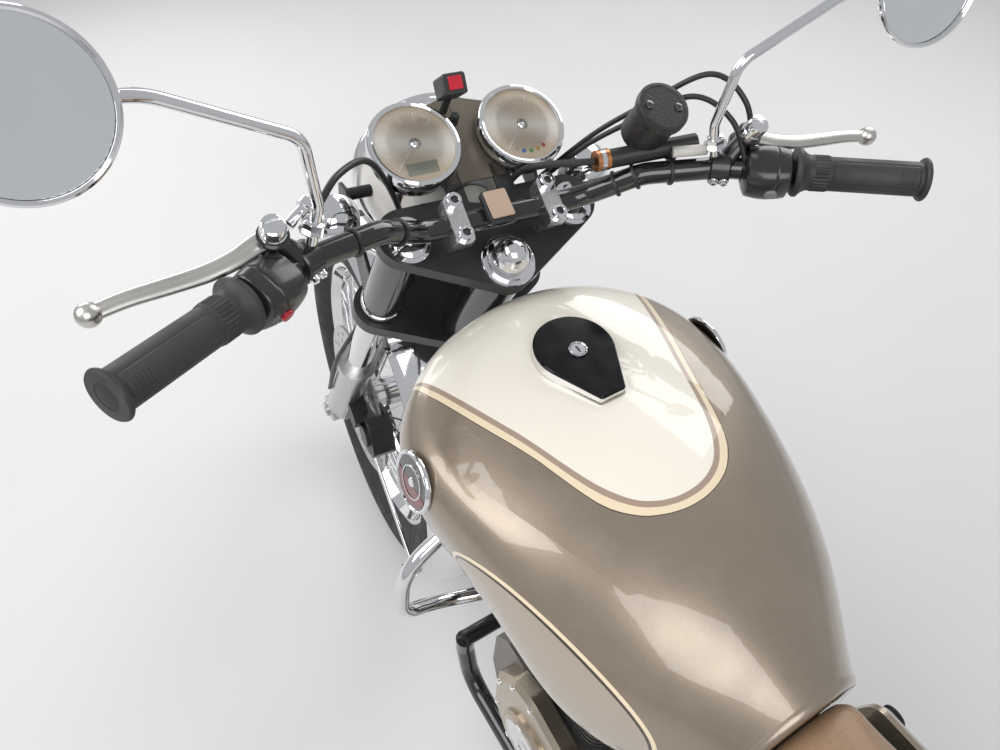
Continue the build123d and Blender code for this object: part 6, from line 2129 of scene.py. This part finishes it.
@dataclass
class FootRubbers(Group):
    """Ribbed rubbers on the pegs, the shift lever, the brake pedal and the kick starter."""

    rubbers: tuple[tuple[str, tuple[float, float, float], tuple[float, float, float], float, str], ...] = (
        ("peg_left", (557.6, 142, 293), (556, 231, 296), 15.0, "foot_controls"),
        ("peg_right", (557.6, -142, 293), (556, -231, 296), 15.0, "foot_controls"),
        ("shift", (690, 146, 330.4), (690, 181, 332), 11.0, "foot_controls"),
        ("brake_pedal", (712, -172, 300), (712, -203, 301), 12.0, "foot_controls"),
        ("kick", (533, -168, 520.5), (530, -225, 524), 13.0, "kick_starter"))

    def build(self) -> None:
        """Build each rubber: a sleeve whose radius ripples in steps along its length, with a wider end."""
        for name, start, end, radius, node in self.rubbers:
            run = np.array(end) - np.array(start)
            length = float(np.linalg.norm(run))
            h = np.linspace(0, length, int(length * 2))
            r = radius - 1.6 * (np.sin(h * 2 * math.pi / 6.5) > 0.2) * (h > 3) * (h < length - 4)
            outline = [
                (radius * 0.6, 0), *np.column_stack([r, h]), (radius + 1.5, length),
                (radius + 1.5, length + 2.5), (0, length + 3.5)]
            self.turn(
                f"rubber_{name}", on_machine(*start, tuple(run), (1, 0, 0)), outline, 32, RUBBER, node)


@dataclass
class Cables(Group):
    """Control cables, loom and hoses that run from the bar to the headlight and the lower yoke."""

    rides: ClassVar[Body] = Body.STEERING
    usual: ClassVar[str] = "switch_housings"
    runs: tuple[tuple[str, float, tuple[Point, ...]], ...] = (
        ("clutch_cable", 3.2,
         ((50, 190, 118), (76, 164, 112), (98, 128, 84), (100, 96, 20), (92, 66, -70), (70, 46, -176))),
        ("throttle_cable_a", 2.8,
         ((8, -238, 126), (48, -228, 156), (84, -204, 154), (92, -160, 104), (98, -118, 40), (92, -70, -60),
          (70, -44, -176))),
        ("throttle_cable_b", 2.8,
         ((0, -232, 118), (40, -218, 140), (74, -190, 136), (84, -150, 92), (92, -110, 30), (84, -62, -60),
          (62, -40, -176))),
        ("loom_left", 4.2,
         ((12, 214, 90), (32, 170, 76), (46, 132, 52), (58, 100, 20), (84, 60, -20), (112, 40, -60))),
        ("loom_right", 4.2,
         ((12, -214, 90), (32, -170, 76), (46, -132, 52), (58, -100, 20), (84, -60, -20), (112, -40, -60))),
        ("speedometer_cable", 3.4,
         ((133, 60, -8), (128, 64, -40), (98, 70, -110), (80, 84, -260), (64, 120, -420), (58, 122, -560))),
        ("signal_lead_left", 2.0, ((86, 132, -34), (90, 108, -52), (104, 80, -66), (122, 60, -74))),
        ("signal_lead_right", 2.0, ((86, -132, -34), (90, -108, -52), (104, -80, -66), (122, -60, -74))))
    ties: tuple[Point, ...] = (
        (33.5, 118, 64), (23, 166, 88.5), (33.5, -118, 64), (31, -134, 77), (23, -166, 88.5))

    def build(self) -> None:
        """Build the runs, the ties round the bar and the fittings at the cables' upper ends."""
        for name, radius, knots in self.runs:
            self.fit(swept(name, stem_path(knots, 14), radius * MM, 12), BLACK_SATIN)
        bands = []
        for k, (x, y, z) in enumerate(self.ties):
            run = np.array((-9.0, 54, 44) if abs(y) < 140 else (-20.5, 77, 20)) * (1, np.sign(y), 1)
            bands.append(
                turned(f"tie_{k}", on_stem(x, y, z, tuple(run)),
                       ((10.8, -1.7), (13.0, -1.7), (13.5, 0), (13.0, 1.7), (10.8, 1.7)), 32))
        self.fit(join("bar_ties", bands), BLACK_PLASTIC)
        self.fit(
            swept("inline_connector",
                  STEM.put(np.array(((26, -196, 116), (30, -180, 112), (34, -164, 108))) * MM), 5.5 * MM,
                  16), Finish("connector_white", (0.62, 0.6, 0.55), 0.45, vary=0.05))
        for side in (1, -1):
            self.turn(
                f"fork_cover_{side}", on_stem(50.8, 93 * side, 0),
                ((19.4, -176), (24, -176), (24, -12), (19.4, -12)), 64, BLACK_GLOSS, "steering_yokes")
            self.turn(
                f"fork_ring_{side}", on_stem(50.8, 93 * side, -168),
                ((23.6, -5), (25.4, -4.4), (26, 0), (25.4, 4.4), (23.6, 5)), 64, CHROME, "steering_yokes")


@dataclass
class SwitchPods(Group):
    """The switch housings and lever perches: rounded pods round the bar, their clamps, arms and caps."""

    rides: ClassVar[Body] = Body.STEERING
    usual: ClassVar[str] = "switch_housings"

    def pod(self, name: str, frame: Place) -> Piece:
        """Build a pod: rings (shift + half x |cos|^0.72, half y |sin|^0.72), rounded at both ends.

        Args:
            name: the piece's name.
            frame: frame on the bar, z along it and x ahead.

        Returns:
            The mesh object.
        """
        z = np.concatenate(
            [[-24, -24], np.linspace(-23.6, -19, 7), np.linspace(-18, 21, 40), np.linspace(22, 25.6, 7),
             [26, 26]])
        a = circle(72)
        swell = np.clip(np.minimum((z + 24.6) / 6.5, (26.6 - z) / 5), 0, 1) ** 0.4
        half_x = 20.5 + 4.2 * np.sin(np.clip((z + 24) / 50, 0, 1) * math.pi)
        half_y = 21.0 + 2.2 * np.sin(np.clip((z + 24) / 50, 0, 1) * math.pi)
        seam = 1 - 0.035 * np.exp(-((z - 9) / 0.7) ** 2)
        reach = np.where((np.arange(len(z)) == 0) | (np.arange(len(z)) == len(z) - 1), 0.5, swell) * seam
        wave = np.sign(np.cos(a)) * np.abs(np.cos(a)) ** 0.72, np.sign(np.sin(a)) * np.abs(np.sin(a)) ** 0.72
        x = -3.0 + np.outer(half_x * reach, wave[0])
        y = np.outer(half_y * reach, wave[1])
        grid = np.stack([x, y, np.broadcast_to(z[:, None], x.shape)], axis=-1)
        return crisp(surface(name, frame.put(grid * MM), close_v=True), 40)

    def build(self) -> None:
        """Build both sides: pod, clamp, arm, ears, pivot cap and the cable's adjuster."""
        bar = Handlebar(self.shop)
        for side, tag in SIDES:
            self.fit(
                self.pod(f"switch_pod_{tag}", bar.along(side, 152)), POD_BLACK, "switch_housings",
                stands=True)
            clamp_place = bar.along(side, 197)
            clamp = turned(
                f"perch_clamp_{tag}", clamp_place,
                ((11.2, -10), (15.5, -10), (17, -8.5), (17, 8.5), (15.5, 10), (11.2, 10)), 48)
            start, end = STEM.put(mm(11, 213 * side, 104)), STEM.put(mm(24, 234 * side, 126))
            arm = swept(
                f"perch_arm_{tag}", np.linspace(start, end, 6), np.array([13, 12, 11, 10, 9.5, 9.5]) * MM,
                20, 0.8)
            ears = [turned(f"perch_ear_{tag}_{k}", on_stem(24, 236 * side, 126),
                           ((0, z), (12.4, z), (13, z + 1), (13, z + 2), (12.4, z + 3), (0, z + 3)), 40)
                    for k, z in enumerate((-10, 6.9))]
            self.fit(join(f"lever_perch_{tag}", [clamp, arm, *ears]), POD_BLACK)
            cap = turned(
                f"perch_cap_{tag}", on_stem(24, 236 * side, 135.8),
                ((0, 0), (11, 0), (11, 6), (10.2, 7), (10.2, 15), (9.4, 17), (7, 18.2), (0, 18.6)), 48)
            pieces = [cap]
            if side > 0:
                pieces.append(
                    turned("cable_adjuster", on_stem(38, 216, 124, (0.6, -0.78, -0.1)),
                           ((0, -6), (5, -6), (5, 14), (7.5, 15), (7.5, 22), (5, 23), (4, 34), (0, 34)),
                           20))
            self.fit(join(f"perch_brightwork_{tag}", pieces), CHROME)
            screws = [WORLD.at(clamp_place.put(mm(-16, 0, z)), -clamp_place.axes[0], clamp_place.axes[2])
                      for z in (-5, 5)]
            self.bolt_down(f"perch_bolts_{tag}", screws, 3.6, 5)


@dataclass
class Studio:
    """Pale floor, backdrop, soft lamps and the camera."""

    lens: float = 28.48
    eye: Point = (-0.163258, 0.350058, 1.458744)
    right: Point = (-0.52757213, -0.84862131, 0.03885257)
    down: Point = (-0.65666496, 0.37836737, -0.65240269)
    ahead: Point = (0.53894228, -0.3697026, -0.75687595)
    floor_half: float = 9.0
    lamps: tuple[tuple[Point, float, float], ...] = (
        ((0.9, 2.6, 3.2), 2.4, 70.0), ((-2.4, 1.0, 3.0), 2.2, 50.0), ((1.6, -2.6, 2.6), 2.2, 45.0),
        ((3.0, 0.4, 1.6), 1.6, 22.0))

    def camera(self) -> Piece:
        """Make the camera at the photograph's place, with its right, up and back axes as columns.

        Returns:
            The camera.
        """
        data = bpy.data.cameras.new("camera")
        data.lens = self.lens
        data.sensor_width = 36.0
        data.clip_start = 0.02
        camera = bpy.data.objects.new("camera", data)
        columns = np.column_stack([self.right, -np.array(self.down), -np.array(self.ahead)])
        matrix = np.eye(4)
        matrix[:3, :3] = columns
        matrix[:3, 3] = self.eye
        camera.matrix_world = Matrix(matrix.tolist())
        bpy.context.collection.objects.link(camera)
        bpy.context.scene.camera = camera
        return camera

    def floor(self) -> Piece:
        """Make the floor: a flat grid with a pale, faintly mottled coat.

        Returns:
            The floor.
        """
        span = np.linspace(-self.floor_half, self.floor_half, 3)
        x, y = np.meshgrid(span, span, indexing="ij")
        ground = surface("floor", np.stack([x, y, np.full_like(x, -0.0005)], axis=-1), smooth=False)
        n = Nodes("floor_pale")
        n.set(Base_Color=n.ramp(n.noise(1.2, 2.0), ((0.2, (0.64, 0.635, 0.63)), (0.8, (0.68, 0.675, 0.67)))),
              Roughness=0.65)
        ground.data.materials.append(n.material)
        return ground

    def light(self) -> None:
        """Hang soft square lamps that face the machine, and a pale sky."""
        for number, (place, size, power) in enumerate(self.lamps):
            data = bpy.data.lights.new(f"lamp_{number}", "AREA")
            data.shape = "SQUARE"
            data.size = size
            data.energy = power
            lamp = bpy.data.objects.new(f"lamp_{number}", data)
            lamp.location = place
            aim = Vector((0.0, 0.0, 0.7)) - Vector(place)
            lamp.rotation_euler = aim.to_track_quat("-Z", "Y").to_euler()
            bpy.context.collection.objects.link(lamp)
        world = bpy.data.worlds.new("sky")
        world.use_nodes = True
        back = world.node_tree.nodes["Background"]
        back.inputs["Color"].default_value = (0.9, 0.92, 0.95, 1.0)
        back.inputs["Strength"].default_value = 0.55
        bpy.context.scene.world = world
        bpy.context.scene.view_settings.view_transform = "Standard"


def main() -> dict:
    """Dress the frame, part by part.

    Returns:
        The frame as loaded.
    """
    logging.basicConfig(level=logging.INFO, format="%(message)s")
    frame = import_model()
    shop = Workshop(frame)
    shop.dress_nodes()
    tyres = (
        Tyre(shop, "front_road_tyre", Body.FRONT_WHEEL, "front_tyre", (0.7097, -0.00584, 0.33084),
             (0.10195, 0.99337, 0.05307), 331, 100, 243),
        Tyre(shop, "rear_road_tyre", Body.REAR_WHEEL, "rear_tyre", (-0.7, 0, 0.346), (0, 1, 0), 328, 112,
             231))
    groups = (
        Instruments(shop), Handlebar(shop), SwitchPods(shop), Cables(shop), Reservoir(shop),
        Headlight(shop), Signals(shop), Tank(shop), Saddle(shop), *tyres, Chain(shop), TailLamp(shop),
        Engine(shop), FootRubbers(shop))
    for group in groups:
        group.build()
    studio = Studio()
    studio.camera()
    studio.floor()
    studio.light()
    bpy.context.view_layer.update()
    return frame


if __name__ == "__main__":
    main()
